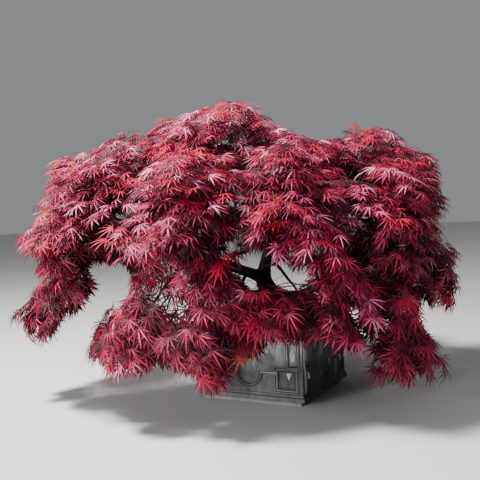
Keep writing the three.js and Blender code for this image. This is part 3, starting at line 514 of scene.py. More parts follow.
# Each limb: what it grows out of and how far along that, the places it passes, and its radius at foot and tip
LIMBS = {
    "bough_left": ("trunk", 0.78, [(-150, 0, 690), (-270, 0, 735), (-410, 0, 800), (-650, 10, 940),
                                   (-930, 10, 1110)], 33, 11),
    "bough_up": ("trunk", 0.8, [(-20, 0, 760), (2, 0, 840), (-20, 15, 1080), (-150, 50, 1330)], 38, 12),
    "bough_right": ("bough_up", 0.36, [(150, 0, 950), (300, 0, 1030), (460, 30, 1200)], 25, 11),
    "branch_left_top": ("bough_left", 0.42, [(-500, 30, 980), (-630, 70, 1200)], 17, 10),
    "branch_middle_top": ("bough_up", 0.6, [(80, -20, 1130), (150, -40, 1240)], 15, 9),
    "branch_front_left": ("bough_left", 0.5, [(-500, 130, 960), (-510, 290, 1120)], 15, 9),
    "branch_front_loop": ("bough_left", 0.2, [(-205, 25, 775), (-130, 80, 808), (-70, 170, 890),
                                              (-130, 330, 1110)], 11, 8),
    "branch_front_right": ("bough_right", 0.35, [(170, 150, 1000), (220, 320, 1090)], 14, 9),
    "branch_far_right": ("bough_right", 0.62, [(480, 50, 1060), (650, 90, 1130)], 14, 9),
    "branch_back_left": ("bough_left", 0.55, [(-540, -120, 1020), (-590, -240, 1150)], 15, 9),
    "branch_back": ("bough_up", 0.5, [(-50, -150, 1060), (-80, -300, 1180)], 15, 9),
    "branch_back_right": ("bough_right", 0.45, [(290, -140, 1040), (340, -270, 1150)], 14, 9),
    "branch_back_top_left": ("bough_left", 0.64, [(-500, -110, 1080), (-450, -200, 1230)], 13, 9),
    "branch_back_top_right": ("bough_up", 0.7, [(60, -120, 1140), (160, -210, 1220)], 13, 9),
    "branch_left_skirt": ("bough_left", 0.86, [(-960, 50, 1020), (-1090, 70, 960)], 10, 8),
    "branch_left_hanging": ("branch_left_skirt", 0.5, [(-1050, -50, 880), (-1150, -30, 740),
                                                       (-1180, 50, 620)], 8.5, 7),
    "branch_low_left": ("bough_left", 0.3, [(-340, 140, 790), (-390, 280, 740)], 14, 10),
    "branch_low_left_outer": ("branch_low_left", 0.55, [(-500, 270, 730), (-620, 400, 590)], 9.5, 8),
    "branch_low_left_front": ("branch_low_left", 0.8, [(-330, 380, 640), (-400, 500, 530)], 9, 7.5),
    "branch_over_rim_left": ("bough_left", 0.08, [(-120, 140, 700), (-160, 300, 665),
                                                  (-190, 420, 600)], 12, 8),
    "branch_over_rim": ("bough_up", 0.12, [(20, 180, 735), (80, 400, 665)], 12, 8),
    "branch_low_right": ("bough_right", 0.22, [(200, 130, 880), (280, 260, 800), (330, 340, 720)], 13, 9),
    "branch_low_right_outer": ("branch_low_right", 0.6, [(400, 260, 720), (540, 380, 560)], 9, 7.5),
    "branch_right_skirt": ("branch_far_right", 0.6, [(700, 110, 980), (800, 130, 880)], 10, 8),
    "branch_back_left_skirt": ("branch_back_left", 0.6, [(-680, -300, 1010), (-850, -420, 940)], 10, 8),
    "branch_back_skirt": ("branch_back", 0.6, [(-120, -420, 1000), (-150, -680, 960)], 10, 8),
    "branch_back_right_skirt": ("branch_back_right", 0.6, [(420, -330, 960), (560, -510, 900)], 10, 8),
}
COLLAR_SWELL, COLLAR_LONG = 0.35, 0.14
FLARE = 2.2  # how fast the trunk's flare narrows as it rises
STEP_ALONG, LEAST_STEPS = 9.0, 8
TUBE_SIDES = {"trunk": 40, "bough": 20, "branch": 12}
WOOD_GRAIN = 5.2 * MM  # the size to which the joined limbs are smoothed into each other
FISSURE_DEEP, FISSURES, CRACKS = 1.5, (0.10, 0.10, 0.022), (0.35, 0.35, 0.08)
RIDGED, CRACKED = 0.8, 0.45
SWELL_HIGH, SWELLS = 1.4, 0.03
BARK_TONES = ((0.3, (0.010, 0.007, 0.009)), (0.52, (0.030, 0.021, 0.025)), (0.75, (0.075, 0.058, 0.062)))
BARK_BLOOM = (0.085, 0.085, 0.078)


def place(across, toward, up):
    return Vector((across, -toward, up))


class Bend:
    """A smooth curve through places, as in the source of the solids: its knots lie closer where it turns."""

    def __init__(self, points):
        self.points = points

    def at(self, t):
        points = self.points
        last = len(points) - 1
        i = min(int(last * t), last - 1)
        share = last * t - i
        p1, p2 = points[i], points[i + 1]
        p0 = points[i - 1] if i > 0 else 2 * p1 - p2
        p3 = points[i + 2] if i + 2 <= last else 2 * p2 - p1
        d0, d1, d2 = [(b - a).length ** 0.5 for a, b in ((p0, p1), (p1, p2), (p2, p3))]
        t1 = ((p1 - p0) / d0 - (p2 - p0) / (d0 + d1) + (p2 - p1) / d1) * d1
        t2 = ((p2 - p1) / d1 - (p3 - p1) / (d1 + d2) + (p3 - p2) / d2) * d1
        bend = -3 * p1 + 3 * p2 - 2 * t1 - t2
        turn = 2 * p1 - 2 * p2 + t1 + t2
        return p1 + t1 * share + bend * share ** 2 + turn * share ** 3

    def direction(self, t):
        low, high = max(0.0, t - 1e-4), min(1.0, t + 1e-4)
        return (self.at(high) - self.at(low)).normalized()

    def length(self):
        stops = [self.at(i / 24) for i in range(25)]
        return sum((b - a).length for a, b in zip(stops, stops[1:]))


def rings_along(curve, radius_at, sides, steps):
    """Rings of points round a curve, each turned as little as possible from the one before."""
    aside = curve.direction(0).orthogonal().normalized()
    rings = []
    for i in range(steps + 1):
        t = i / steps
        along = curve.direction(t)
        aside = (aside - along * aside.dot(along)).normalized()
        other = along.cross(aside)
        middle = curve.at(t)
        ring = []
        for k in range(sides):
            turn = 2 * math.pi * k / sides
            radius = radius_at(t, turn)
            ring.append(middle + radius * (math.cos(turn) * aside + math.sin(turn) * other))
        rings.append(ring)
    return rings


def add_tube(points, faces, rings):
    """Joins rings into a closed tube, with its points and faces added to lists."""
    faces += ring_faces(len(rings), len(rings[0]), start=len(points))
    for ring in rings:
        points += ring


def trunk_radius(along, turn):
    flare = (1 - along) ** FLARE
    buttress = 1 + BUTTRESS_DEPTH * flare * math.cos(BUTTRESSES * turn)
    return (TRUNK["neck"] + (TRUNK["foot"] - TRUNK["neck"]) * flare) * buttress


def limb_radius(foot, tip):
    def radius(along, turn):
        swell = 1 + COLLAR_SWELL * max(0.0, 1 - along / COLLAR_LONG) ** 2
        return (foot + (tip - foot) * along) * swell
    return radius


def grown_limbs():
    """The curves of trunk and limbs, with a rough mesh of tubes that run into each other."""
    curves = {"trunk": Bend([place(*point) for point in TRUNK["points"]])}
    radii = {"trunk": trunk_radius}
    for name, (parent, at, points, foot, tip) in LIMBS.items():
        curves[name] = Bend([curves[parent].at(at), *[place(*point) for point in points]])
        radii[name] = limb_radius(foot, tip)
    points, faces = [], []
    for name, curve in curves.items():
        sides = TUBE_SIDES[name.split("_")[0]]
        steps = max(LEAST_STEPS, round(curve.length() / STEP_ALONG))
        add_tube(points, faces, rings_along(curve, radii[name], sides, steps))
    return curves, radii, points, faces


def bark_relief(point):
    """How far the bark stands out at a place, in millimetres: long fissures, and a slower swelling."""
    long = Vector([along * close for along, close in zip(point, FISSURES)])
    fine = Vector([along * close for along, close in zip(point, CRACKS)])
    ridges = 1 - abs(noise.noise(long)) * 2
    swelling = SWELL_HIGH * noise.noise(point * SWELLS)
    return FISSURE_DEEP * (RIDGED * ridges + CRACKED * noise.noise(fine)) + swelling


def bark_finish():
    material, tree, shader = new_finish("maple_bark")
    tone = ramp(tree, clouds(tree, (1, 1, 0.25), 40.0), BARK_TONES)
    bloom = ramp(tree, clouds(tree, (1, 1, 0.5), 11.0), [(0.52, 0.0), (0.74, 0.5)])
    grain = bumps(tree, clouds(tree, (1, 1, 0.2), 160.0), 0.7, 0.003)
    coat(tree, shader, blended(tree, "MIX", bloom, tone, BARK_BLOOM), 0.8, grain)
    return material


def wood_piece(name, points, faces, material):
    """The tubes melted into one skin, cut to the bark's relief."""
    rough = mesh_piece(name + "_rough", [point * MM for point in points], faces)
    melt = rough.modifiers.new("melt", "REMESH")
    melt.mode = "VOXEL"
    melt.voxel_size = WOOD_GRAIN
    smooth = rough.modifiers.new("smooth", "SMOOTH")
    smooth.factor, smooth.iterations = 0.5, 4
    joined = bpy.data.meshes.new_from_object(rough.evaluated_get(bpy.context.evaluated_depsgraph_get()))
    bpy.data.objects.remove(rough)
    corners = [vertex.co.copy() for vertex in joined.vertices]
    normals = [normal.vector.copy() for normal in joined.vertex_normals]
    for vertex, corner, normal in zip(joined.vertices, corners, normals):
        vertex.co = corner + normal * bark_relief(corner / MM) * MM
    joined.transform(TREE_TURN)
    joined.materials.clear()
    joined.materials.append(material)
    joined.polygons.foreach_set("use_smooth", [True] * len(joined.polygons))
    joined.name = name
    return placed(name, joined)


BARK = bark_finish()
limb_curves, limb_radii, wood_points, wood_faces = grown_limbs()
wood = wood_piece("trunk_and_boughs", wood_points, wood_faces, BARK)
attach(wood, "root")
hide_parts(*limb_curves)


# The twigs: thin wood, in a mass at the end of every bough or branch, which arches over and hangs. A stem
# carries it, twigs leave that to both sides, or all round it in the top, and finer ones leave those. They
# grow by the same seeded rule as in the solids, in the same directions and millimetres, on to finer wood.
CROWN = 2.4  # radians round an upright stem from one twig to the next
# Each mass: its limb, the end of its stem, how high it arches, the length of its twigs, how many the solids
# have, how far round the stem from one to the next, and how far its hanging shoots drop
MASSES = {
    "foliage_top": ("bough_up", (-180, 40, 1625), 0, 340, 5, CROWN, 210),
    "foliage_top_right": ("bough_right", (610, 0, 1455), 40, 310, 5, CROWN, 210),
    "foliage_top_left": ("branch_left_top", (-800, 30, 1410), 80, 350, 5, CROWN, 210),
    "foliage_top_middle": ("branch_middle_top", (260, -60, 1400), 0, 310, 5, CROWN, 190),
    "foliage_far_left": ("bough_left", (-1120, 0, 1310), 170, 230, 5, math.pi, 190),
    "foliage_front_left": ("branch_front_left", (-740, 620, 970), 260, 300, 5, math.pi, 150),
    "foliage_front": ("branch_front_loop", (-190, 740, 980), 300, 300, 6, math.pi, 70),
    "foliage_front_right": ("branch_front_right", (360, 680, 920), 260, 300, 5, math.pi, 100),
    "foliage_far_right": ("branch_far_right", (850, 140, 1110), 170, 280, 5, math.pi, 190),
    "foliage_back_left": ("branch_back_left", (-740, -640, 960), 300, 340, 5, math.pi, 120),
    "foliage_back": ("branch_back", (-120, -760, 1000), 320, 340, 5, math.pi, 120),
    "foliage_back_right": ("branch_back_right", (520, -640, 950), 300, 340, 5, math.pi, 120),
    "foliage_back_top_left": ("branch_back_top_left", (-400, -360, 1400), 60, 300, 4, CROWN, 190),
    "foliage_back_top_right": ("branch_back_top_right", (330, -400, 1330), 60, 300, 4, CROWN, 190),
    "foliage_left_skirt": ("branch_left_skirt", (-1190, 90, 850), 80, 240, 5, math.pi, 90),
    "foliage_left_hanging": ("branch_left_hanging", (-1220, 110, 530), 20, 130, 4, math.pi, 60),
    "foliage_low_left": ("branch_low_left", (-500, 560, 660), 100, 250, 5, math.pi, 100),
    "foliage_low_left_outer": ("branch_low_left_outer", (-770, 550, 420), 50, 190, 4, math.pi, 60),
    "foliage_low_left_front": ("branch_low_left_front", (-540, 650, 420), 40, 170, 4, math.pi, 80),
    "foliage_rim_left": ("branch_over_rim_left", (-320, 560, 360), 60, 160, 4, math.pi, 110),
    "foliage_rim": ("branch_over_rim", (130, 620, 540), 40, 190, 4, math.pi, 50),
    "foliage_low_right": ("branch_low_right", (420, 550, 560), 60, 230, 5, math.pi, 100),
    "foliage_low_right_outer": ("branch_low_right_outer", (710, 470, 290), 60, 190, 4, math.pi, 90),
    "foliage_right_skirt": ("branch_right_skirt", (790, 160, 640), 40, 190, 5, math.pi, 130),
    "foliage_back_left_skirt": ("branch_back_left_skirt", (-1050, -510, 740), 70, 260, 5, math.pi, 110),
    "foliage_back_skirt": ("branch_back_skirt", (-180, -860, 830), 70, 260, 5, math.pi, 110),
    "foliage_back_right_skirt": ("branch_back_right_skirt", (700, -640, 690), 70, 260, 5, math.pi, 110),
}
OWN_SEEDS = {"foliage_far_left": 41, "foliage_top_left": 42, "foliage_back_left": 43}
STEM_ROOT = 6  # millimetres that a stem starts inside its limb
STEM_LEAD, STEM_BEND = 0.2, 0.45  # how far a stem goes on with its limb, and where it bends over
MIDDLE_AT = 0.55  # the place along a stem that stands for the middle of its mass
TWIGS_FROM, TWIGS_TO = 0.12, 0.95
FINER = 2.6  # times as many twigs on a stem as in the solids
LONGER = 75  # a twig's length beyond that in the solids, whose leaves are sprays
TWIG_TRIES, SHORTER_EACH_TRY = 4, 0.12  # how often a twig that finds no room is tried, shorter each time
FINE_EVERY, FINE_LONG = 62, 125  # along a twig from one fine twig to the next, and the length of those
FINE_FROM, FINE_OVER, FINE_SHORTER = 0.2, 0.75, 0.3  # where on a twig they start, and how they get shorter
WEEPING, WEEPING_BEND = 0.9, 0.3  # how much lower than its twig a fine one may head, and how that bends it
RISING_LONG, REACHING_LONG = 230, 185  # shoots that climb from a twig's middle, and that go on from its tip
RISING_FROM, SHOOT_SIZE, SHOOT_TRIES = (0.35, 0.8), (0.6, 1.1), (1, 0.7, 0.45)
# How shoots go, as shares of their length: outward, up or down, and how far along they bend
HANGING_OUT, HANGING_BEND = 0.4, 0.35
RISING_OUT, RISING_UP, RISEN_TIP = 0.35, 0.85, 0.62
REACHING_TURN, REACHING_BEND, REACHING_DROP = 1.6, 0.55, 0.3
SPUR_EVERY, SPUR_LONG, SPURS_FROM = 60, 150, 0.4  # the leafy shoots along the outer part of a branch
HEART = (40, 0, 790, 330)  # the middle and radius of the room round the trunk that is bare of shoots
SPREAD = {"roll": 0.8, "roll_more": 0.5, "away": (0.85, 1.2), "flat": 0.5, "shorter": 0.35,
          "size": (0.9, 1.1), "mid": 0.55, "arch": 0.1, "drop": 0.24}
STEM_THICK, TWIG_THICK, FINE_THICK = (7.0, 3.4), (3.0, 1.5), (1.5, 0.9)
TUBES = ((6, 10), (5, 5), (3, 3))  # sides and stretches of a stem, of a twig or shoot, and of a fine twig
# The room of a mass, in millimetres: the gap between two, how far twigs and finer wood may pass the wall
# there, the margins round the box of the mass's solid, and how far twigs may stand out of the part's box
CELL_GAP, TWIGS_PAST, PAST_WALLS = 1.5, 15, 160
BOX_BELOW, BOX_ABOVE = Vector((120, 120, 180)), Vector((120, 120, 140))
TWIGS_PROUD = -2
BARK_EVERY, LEAST_SPOTS = 14, 6  # millimetres between the places that stand for a limb's bark, and how few
BARK_CLEAR = 3.0  # millimetres that a twig or leaf stays off the bark of other limbs
GROUND_CLEAR = 30  # millimetres that everything on the tree stays off the ground
RIM_ROOM, RIM_CLEAR = 336, 4  # half the planter's width, where nothing grows up to this far over the lip
TWIG_BROWN, TWIG_RED = (0.045, 0.016, 0.022), (0.11, 0.018, 0.026)
# The crown's outline, as the photograph shows it. What grows keeps inside it, seen from where the photograph
# was taken, and leaves its gaps open. Outline, gaps and thin places are read off the photograph, in its
# pixels, from the left and from the top.
FOCAL_PIXELS, FRAME_PIXELS = 721.5, 480
CAMERA_AT = (1.7874, -3.7283, 1.0557)
YAW, PITCH, ROLL = math.radians(27.941), math.radians(2.605), math.radians(-2.232)
OUTLINE_PIXELS = [
    (228, 99), (242, 102), (256, 108), (268, 117), (281, 126), (297, 132), (311, 139), (336, 137),
    (346, 122), (383, 123), (395, 131), (418, 150), (437, 153), (441, 172), (438, 190), (452, 203),
    (440, 220), (449, 235), (460, 254), (454, 266), (460, 280), (454, 313), (424, 301), (421, 317),
    (430, 335), (448, 352), (454, 376), (447, 389), (424, 379), (416, 363), (411, 386), (398, 393),
    (372, 392), (352, 372), (337, 352), (318, 341), (299, 343), (262, 335), (259, 356), (244, 359),
    (234, 352), (234, 374), (222, 390), (207, 393), (200, 374), (178, 369), (158, 360), (130, 374),
    (104, 373), (100, 361), (82, 363), (95, 324), (110, 299), (129, 293), (128, 263), (94, 262), (93, 288),
    (74, 312), (40, 344), (27, 346), (23, 325), (8, 320), (22, 303), (42, 277), (31, 268), (42, 256),
    (24, 253), (10, 240), (38, 220), (32, 206), (43, 196), (49, 180), (47, 158), (70, 156), (104, 141),
    (122, 132), (134, 121), (166, 115), (205, 106),
]
# Each gap and thin place: its middle across and down, and half its width and height
GAPS = [(248, 281, 9, 10), (250, 257, 8, 5), (282, 275, 12, 12), (303, 281, 10, 7), (355, 313, 9, 11),
        (263, 264, 9, 16), (240, 266, 17, 5)]
THIN_PLACES = [(178, 297, 36, 30), (78, 268, 30, 18), (228, 248, 14, 11), (408, 235, 12, 9),
               (385, 305, 14, 8)]
THINNED = 0.4  # the share of leaves that a thin place keeps
SEEN_TO = 0.9  # as far along a twig as it has to keep inside the outline


def camera_directions():
    forward = Vector((-math.sin(YAW) * math.cos(PITCH), math.cos(YAW) * math.cos(PITCH), -math.sin(PITCH)))
    level = Vector((math.cos(YAW), math.sin(YAW), 0))
    upward = level.cross(forward)
    right = math.cos(ROLL) * level + math.sin(ROLL) * upward
    above = math.cos(ROLL) * upward - math.sin(ROLL) * level
    return right, above, forward


VIEW_RIGHT, VIEW_UP, VIEW_AHEAD = camera_directions()


def pixel_of(point):
    """Where the photograph shows a place of the tree, which is given in the tree's own directions."""
    from_camera = TREE_TURN @ point * MM - Vector(CAMERA_AT)
    scale = FOCAL_PIXELS / from_camera.dot(VIEW_AHEAD)
    middle = FRAME_PIXELS / 2
    return middle + scale * from_camera.dot(VIEW_RIGHT), middle - scale * from_camera.dot(VIEW_UP)


def within(ovals, x, y):
    return any(((x - a) / half) ** 2 + ((y - b) / high) ** 2 < 1 for a, b, half, high in ovals)


def in_outline(point):
    x, y = pixel_of(point)
    inside_it = False
    before = OUTLINE_PIXELS[-1]
    for corner in OUTLINE_PIXELS:
        if (corner[1] > y) != (before[1] > y):
            share = (y - corner[1]) / (before[1] - corner[1])
            if x < corner[0] + share * (before[0] - corner[0]):
                inside_it = not inside_it
        before = corner
    return inside_it and not within(GAPS, x, y)


def thinned_at(point, draw):
    return within(THIN_PLACES, *pixel_of(point)) and draw() > THINNED


class Arch(Bend):
    """A curve drawn by two ends and the places that it leans toward."""

    def at(self, t):
        points = list(self.points)
        while len(points) > 1:
            points = [a.lerp(b, t) for a, b in zip(points, points[1:])]
        return points[0]


def between(limits, draw):
    return limits[0] + (limits[1] - limits[0]) * draw()


def mass_stem(limb, to, rise):
    tip_direction = limb.direction(1)
    start, end = limb.at(1), place(*to)
    lead = STEM_LEAD * (end - start).length
    bend = start.lerp(end, STEM_BEND) + tip_direction * lead + Vector((0, 0, rise))
    return Arch([start - STEM_ROOT * tip_direction, start + tip_direction * lead, bend, end])


def twig_curve(stem, along, angle, length, attempt, draw):
    """A twig that leaves a stem: it spreads to one side, rises a little and arches down."""
    foot, forward = stem.at(along), stem.direction(along)
    sideways = Vector((-forward.y, forward.x, 0))
    sideways = sideways.normalized() if sideways.length > 0.3 else Vector((1, 0, 0))
    upright = forward.cross(sideways).normalized()
    roll = angle + (draw() - 0.5) * (SPREAD["roll"] + SPREAD["roll_more"] * attempt)
    away = between(SPREAD["away"], draw)
    heading = forward * math.cos(away)
    heading += sideways * math.sin(away) * math.cos(roll) + upright * math.sin(away) * math.sin(roll)
    heading.z *= SPREAD["flat"]
    heading.normalize()
    middle = foot + heading * SPREAD["mid"] * length + Vector((0, 0, SPREAD["arch"] * length))
    tip = foot + heading * length - Vector((0, 0, SPREAD["drop"] * length))
    return Arch([foot, middle, tip])


def lookup_of(points):
    """A tree in which the points near a place are found fast."""
    tree = KDTree(len(points))
    for i, point in enumerate(points):
        tree.insert(point, i)
    tree.balance()
    return tree


def limb_samples():
    """Places along the middle of every limb, to keep what grows off their bark."""
    spots = []
    for name, curve in limb_curves.items():
        steps = max(LEAST_SPOTS, round(curve.length() / BARK_EVERY))
        for i in range(steps + 1):
            spots.append((name, curve.at(i / steps), limb_radii[name](i / steps, 0.0)))
    return lookup_of([point for _, point, _ in spots]), spots


class Space:
    """The space that a mass keeps to: within walls half-way to its neighbours, off the limbs and planter."""

    def __init__(self, name, middle, others, bark):
        self.walls = []
        for other in others:
            normal = (other - middle).normalized()
            self.walls.append((normal, normal.dot(other + middle) / 2 - CELL_GAP))
        self.bark_tree, self.bark_spots = bark
        self.own_limb = MASSES[name][0]
        self.proud = TWIGS_PROUD
        low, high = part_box(name)
        self.low, self.high = low / MM - BOX_BELOW, high / MM + BOX_ABOVE

    def admits(self, points, beyond):
        for point in points:
            if any(normal.dot(point) > reach + beyond for normal, reach in self.walls):
                return False
            if not self.off_the_rest(point):
                return False
        return True

    def unwalled(self):
        """The same space without its walls and box, for what grows on the limb before its mass."""
        free = copy.copy(self)
        free.walls, free.low, free.high = [], cad_low / MM, cad_high / MM
        return free

    def off_the_rest(self, point, boxed=True):
        turned = TREE_TURN @ point
        if abs(turned.x) < RIM_ROOM and abs(turned.y) < RIM_ROOM and turned.z < RIM_TOP + RIM_CLEAR:
            return False
        if turned.z < GROUND_CLEAR:
            return False
        for i in range(3):
            if boxed and not self.low[i] < turned[i] < self.high[i]:
                return False
            if not cad_low[i] / MM - self.proud < turned[i] < cad_high[i] / MM + self.proud:
                return False
        _, index, distance = self.bark_tree.find(point)
        name, _, radius = self.bark_spots[index]
        return name == self.own_limb or distance > radius + BARK_CLEAR


def grow_twigs(name, stem, space, draw):
    """The twigs and fine twigs of one mass, as (curve, thickness, how fine) rows."""
    limb, _, _, wide, twigs, around, drop = MASSES[name]
    grown = [(stem, STEM_THICK, 0)]
    count = round(twigs * FINER)
    for i in range(count):
        along = TWIGS_FROM + (TWIGS_TO - TWIGS_FROM) * i / (count - 1)
        for attempt in range(TWIG_TRIES):
            length = (wide * (1 - SPREAD["shorter"] * along) + LONGER) * between(SPREAD["size"], draw)
            length *= 1 - SHORTER_EACH_TRY * attempt
            twig = twig_curve(stem, along, i * around, length, attempt, draw)
            if not (space.admits([twig.at(0.5), twig.at(1)], TWIGS_PAST) and in_outline(twig.at(SEEN_TO))):
                continue
            grown.append((twig, TWIG_THICK, 1))
            grown += fine_twigs(twig, length, space, draw)
            for grow_shoot, shoot_long in SHOOTS:
                for shorter in SHOOT_TRIES:
                    long = (shoot_long or drop) * shorter * between(SHOOT_SIZE, draw)
                    shoot = grow_shoot(twig, long, draw)
                    kept_in = in_outline(shoot.at(0.5)) and in_outline(shoot.at(SEEN_TO))
                    if space.admits([shoot.at(1)], PAST_WALLS) and kept_in:
                        grown.append((shoot, FINE_THICK, 1))
                        grown += fine_twigs(shoot, long, space, draw)
                        break
            break
    if not limb.startswith("bough"):
        grown += spurs(limb_curves[limb], space, draw)
    return grown


def fine_twigs(twig, length, space, draw):
    """The fine twigs to both sides of a twig, of which some head down."""
    grown = []
    count = max(2, round(length / FINE_EVERY))
    for k in range(count):
        at = FINE_FROM + FINE_OVER * k / (count - 1)
        fine_length = FINE_LONG * (1 - FINE_SHORTER * at) * between(SPREAD["size"], draw)
        fine = twig_curve(twig, at, k * math.pi, fine_length, 0, draw)
        low = Vector((0, 0, WEEPING * draw() ** 2 * fine_length))
        foot, middle, tip = fine.points
        bent = tip.lerp(foot, WEEPING_BEND * low.z / fine_length) - low
        fine = Arch([foot, middle - WEEPING_BEND * low, bent])
        if space.admits([fine.at(1)], PAST_WALLS) and in_outline(fine.at(SEEN_TO)):
            grown.append((fine, FINE_THICK, 2))
    return grown


def hanging_shoot(twig, drop, draw):
    """A thin shoot that goes on from a twig's tip and hangs."""
    tip, heading = twig.at(1), twig.direction(1)
    outward = Vector((heading.x, heading.y, 0)) * HANGING_OUT * drop
    return Arch([tip, tip + heading * HANGING_BEND * drop, tip + outward - Vector((0, 0, drop))])


def rising_shoot(twig, length, draw):
    """A shoot that climbs from a twig and bows over, as on top of the crown."""
    at = between(RISING_FROM, draw)
    foot, heading = twig.at(at), twig.direction(at)
    level = Vector((heading.x, heading.y, 0))
    top = foot + (RISING_OUT * level + Vector((0, 0, RISING_UP))) * length
    return Arch([foot, top, foot + (level + Vector((0, 0, RISEN_TIP))) * length])


def reaching_shoot(twig, length, draw):
    """A shoot that goes on outward from a twig's tip, a little to one side."""
    tip, heading = twig.at(1), twig.direction(1)
    level = Vector((heading.x, heading.y, 0)).normalized()
    level.rotate(Matrix.Rotation((draw() - 0.5) * REACHING_TURN, 3, "Z"))
    end = tip + level * length - Vector((0, 0, REACHING_DROP * length))
    return Arch([tip, tip + level * REACHING_BEND * length, end])


SHOOTS = ((hanging_shoot, None), (rising_shoot, RISING_LONG), (reaching_shoot, REACHING_LONG))


def spurs(limb, space, draw):
    """Short leafy shoots along the outer part of a branch, which hang to both sides of it."""
    grown = []
    count = max(2, round(limb.length() * (1 - SPURS_FROM) / SPUR_EVERY))
    for i in range(count):
        at = SPURS_FROM + (1 - SPURS_FROM) * i / count
        spur = twig_curve(limb, at, i * math.pi, SPUR_LONG * between(SPREAD["size"], draw), 0, draw)
        clear = (spur.at(1) - place(*HEART[:3])).length > HEART[3]
        if clear and space.off_the_rest(spur.at(1), boxed=False) and in_outline(spur.at(SEEN_TO)):
            grown.append((spur, FINE_THICK, 1))
            grown += fine_twigs(spur, SPUR_LONG, space.unwalled(), draw)
    return grown


def plain_finish(name, colour, roughness, specular=0.5):
    material, _, shader = new_finish(name)
    shader.inputs["Base Color"].default_value = (*colour, 1)
    shader.inputs["Roughness"].default_value = roughness
    shader.inputs["Specular IOR Level"].default_value = specular
    return material


def taper(foot, tip):
    return lambda along, turn: foot + (tip - foot) * along


bark_lookup = limb_samples()
stems = {name: mass_stem(limb_curves[row[0]], row[1], row[2]) for name, row in MASSES.items()}
middles = {name: stem.at(MIDDLE_AT) for name, stem in stems.items()}
mass_spaces, mass_twigs = {}, {}
for number, name in enumerate(MASSES):
    others = [middle for other, middle in middles.items() if other != name]
    mass_spaces[name] = Space(name, middles[name], others, bark_lookup)
    seed = OWN_SEEDS.get(name, 1 + number)
    mass_twigs[name] = grow_twigs(name, stems[name], mass_spaces[name], seeded_draws(seed))

twig_points, twig_faces, twig_marks = [], [], []
for rows in mass_twigs.values():
    for curve, (foot, tip), fineness in rows:
        before = len(twig_faces)
        sides, steps = TUBES[fineness]
        add_tube(twig_points, twig_faces, rings_along(curve, taper(foot, tip), sides, steps))
        twig_marks += [fineness] * (len(twig_faces) - before)
turned_points = [TREE_TURN @ point * MM for point in twig_points]
twig_tones = (
    BARK,
    plain_finish("twig_wine_brown", TWIG_BROWN, 0.7),
    plain_finish("young_twig_red", TWIG_RED, 0.6),
)
twigs = mesh_piece("twigs", turned_points, twig_faces, *twig_tones, smooth=math.radians(80))
twigs.data.polygons.foreach_set("material_index", twig_marks)
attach(twigs, "root")


# The leaves: each a hand of seven slim lobes on a thin stalk, broader in the shade inside the crown. They
# spread flat in its top and hang in tassels low down, in pairs along the fine twigs and close at their ends.
# Their colours are plain and dealt out by spray, with light and shade painted in: from black purple as
# painted shade inside to scarlet and pink outside, the palest pinks painted sheen and glints, and each leaf's
# lobes in a lit and a shaded tone.
LOBE_REACH = (0.46, 0.74, 0.95, 1.0, 0.93, 0.7, 0.42)
LOBE_TURN = math.radians(28)
# The bright lobes are painted lit, and the others painted in shade one or two tones darker
LONG_LOBES, BRIGHT_LOBES = (2, 3, 4), (1, 3, 4)  # the lobes of two stretches, and those of the lighter tone
LONG_LOBE = ((0.3, 1.0), (0.62, 0.7))  # along a lobe, and its half width there
SHORT_LOBE = ((0.42, 1.0),)
SUN_WIDE, SHADE_WIDE = 0.043, 0.1  # half the width of a lobe on the crown's outside, and inside it
LOBE_WIDE, LOBE_WIDER = 0.7, 0.3  # how wide a lobe is whatever its length, and how much that adds
LOBE_ROOF, LOBE_TOOTH = 0.55, 0.07
STALK_LONG, STALK_THICK = 0.36, 0.011
# How leaves hang low in the tree and in its top: how far they point down, how much they face up, their length
# and how far their tips bow
HANGING = {"down": (0.5, 1.6), "face_up": (0.35, 1.1), "long": (78, 108), "droop": (0.15, 0.6)}
SPREADING = {"down": (-0.15, 0.45), "face_up": (1.6, 3.6), "long": (64, 92), "droop": (0.2, 0.6)}
HANGING_TO, SPREADING_FROM = 600, 1050
SWING, OUTWARD, UNEVEN = 1.8, 0.35, 1.3  # how leaves turn on their twig, lean outward and tilt
LEADER_UP = 0.25  # how much the leaves at the end of a stem point up
DEPTH_SHARE = 1.3  # turns outward a little more to the front and back
LEAF_NODES, NODE_TURN = (0.35, 0.7), 1.15  # where pairs of leaves leave a fine twig, and how far they turn
TIP_LEAVES = ((1.0, 0.0), (0.92, -0.75), (0.92, 0.75))
SHOOT_LEAVES = ((0.75, 1.2), (0.75, -1.2), (1.0, 0.0))
LEADER_LEAVES = ((1.0, 0.0), (1.0, 1.3), (1.0, -1.3), (0.97, 2.6), (0.97, -2.6))
LEAVES_IN_ALL, MOST_LEAVES_A_PIECE = 16600, 4500
KEPT_OUTSIDE, KEPT_INSIDE = 1.1, 0.9  # how leaves are shared out between the crown's outside and inside
# A glint leaf is a painted highlight, pale pink on its lit lobes
GLINT_LEAF, GLINT_RUNG = 0.15, 3  # how often a leaf is a pale one in the top, and from what tone up
CROWN_WIDE, CROWN_DEEP, CROWN_TOP = 1250, 950, 1600
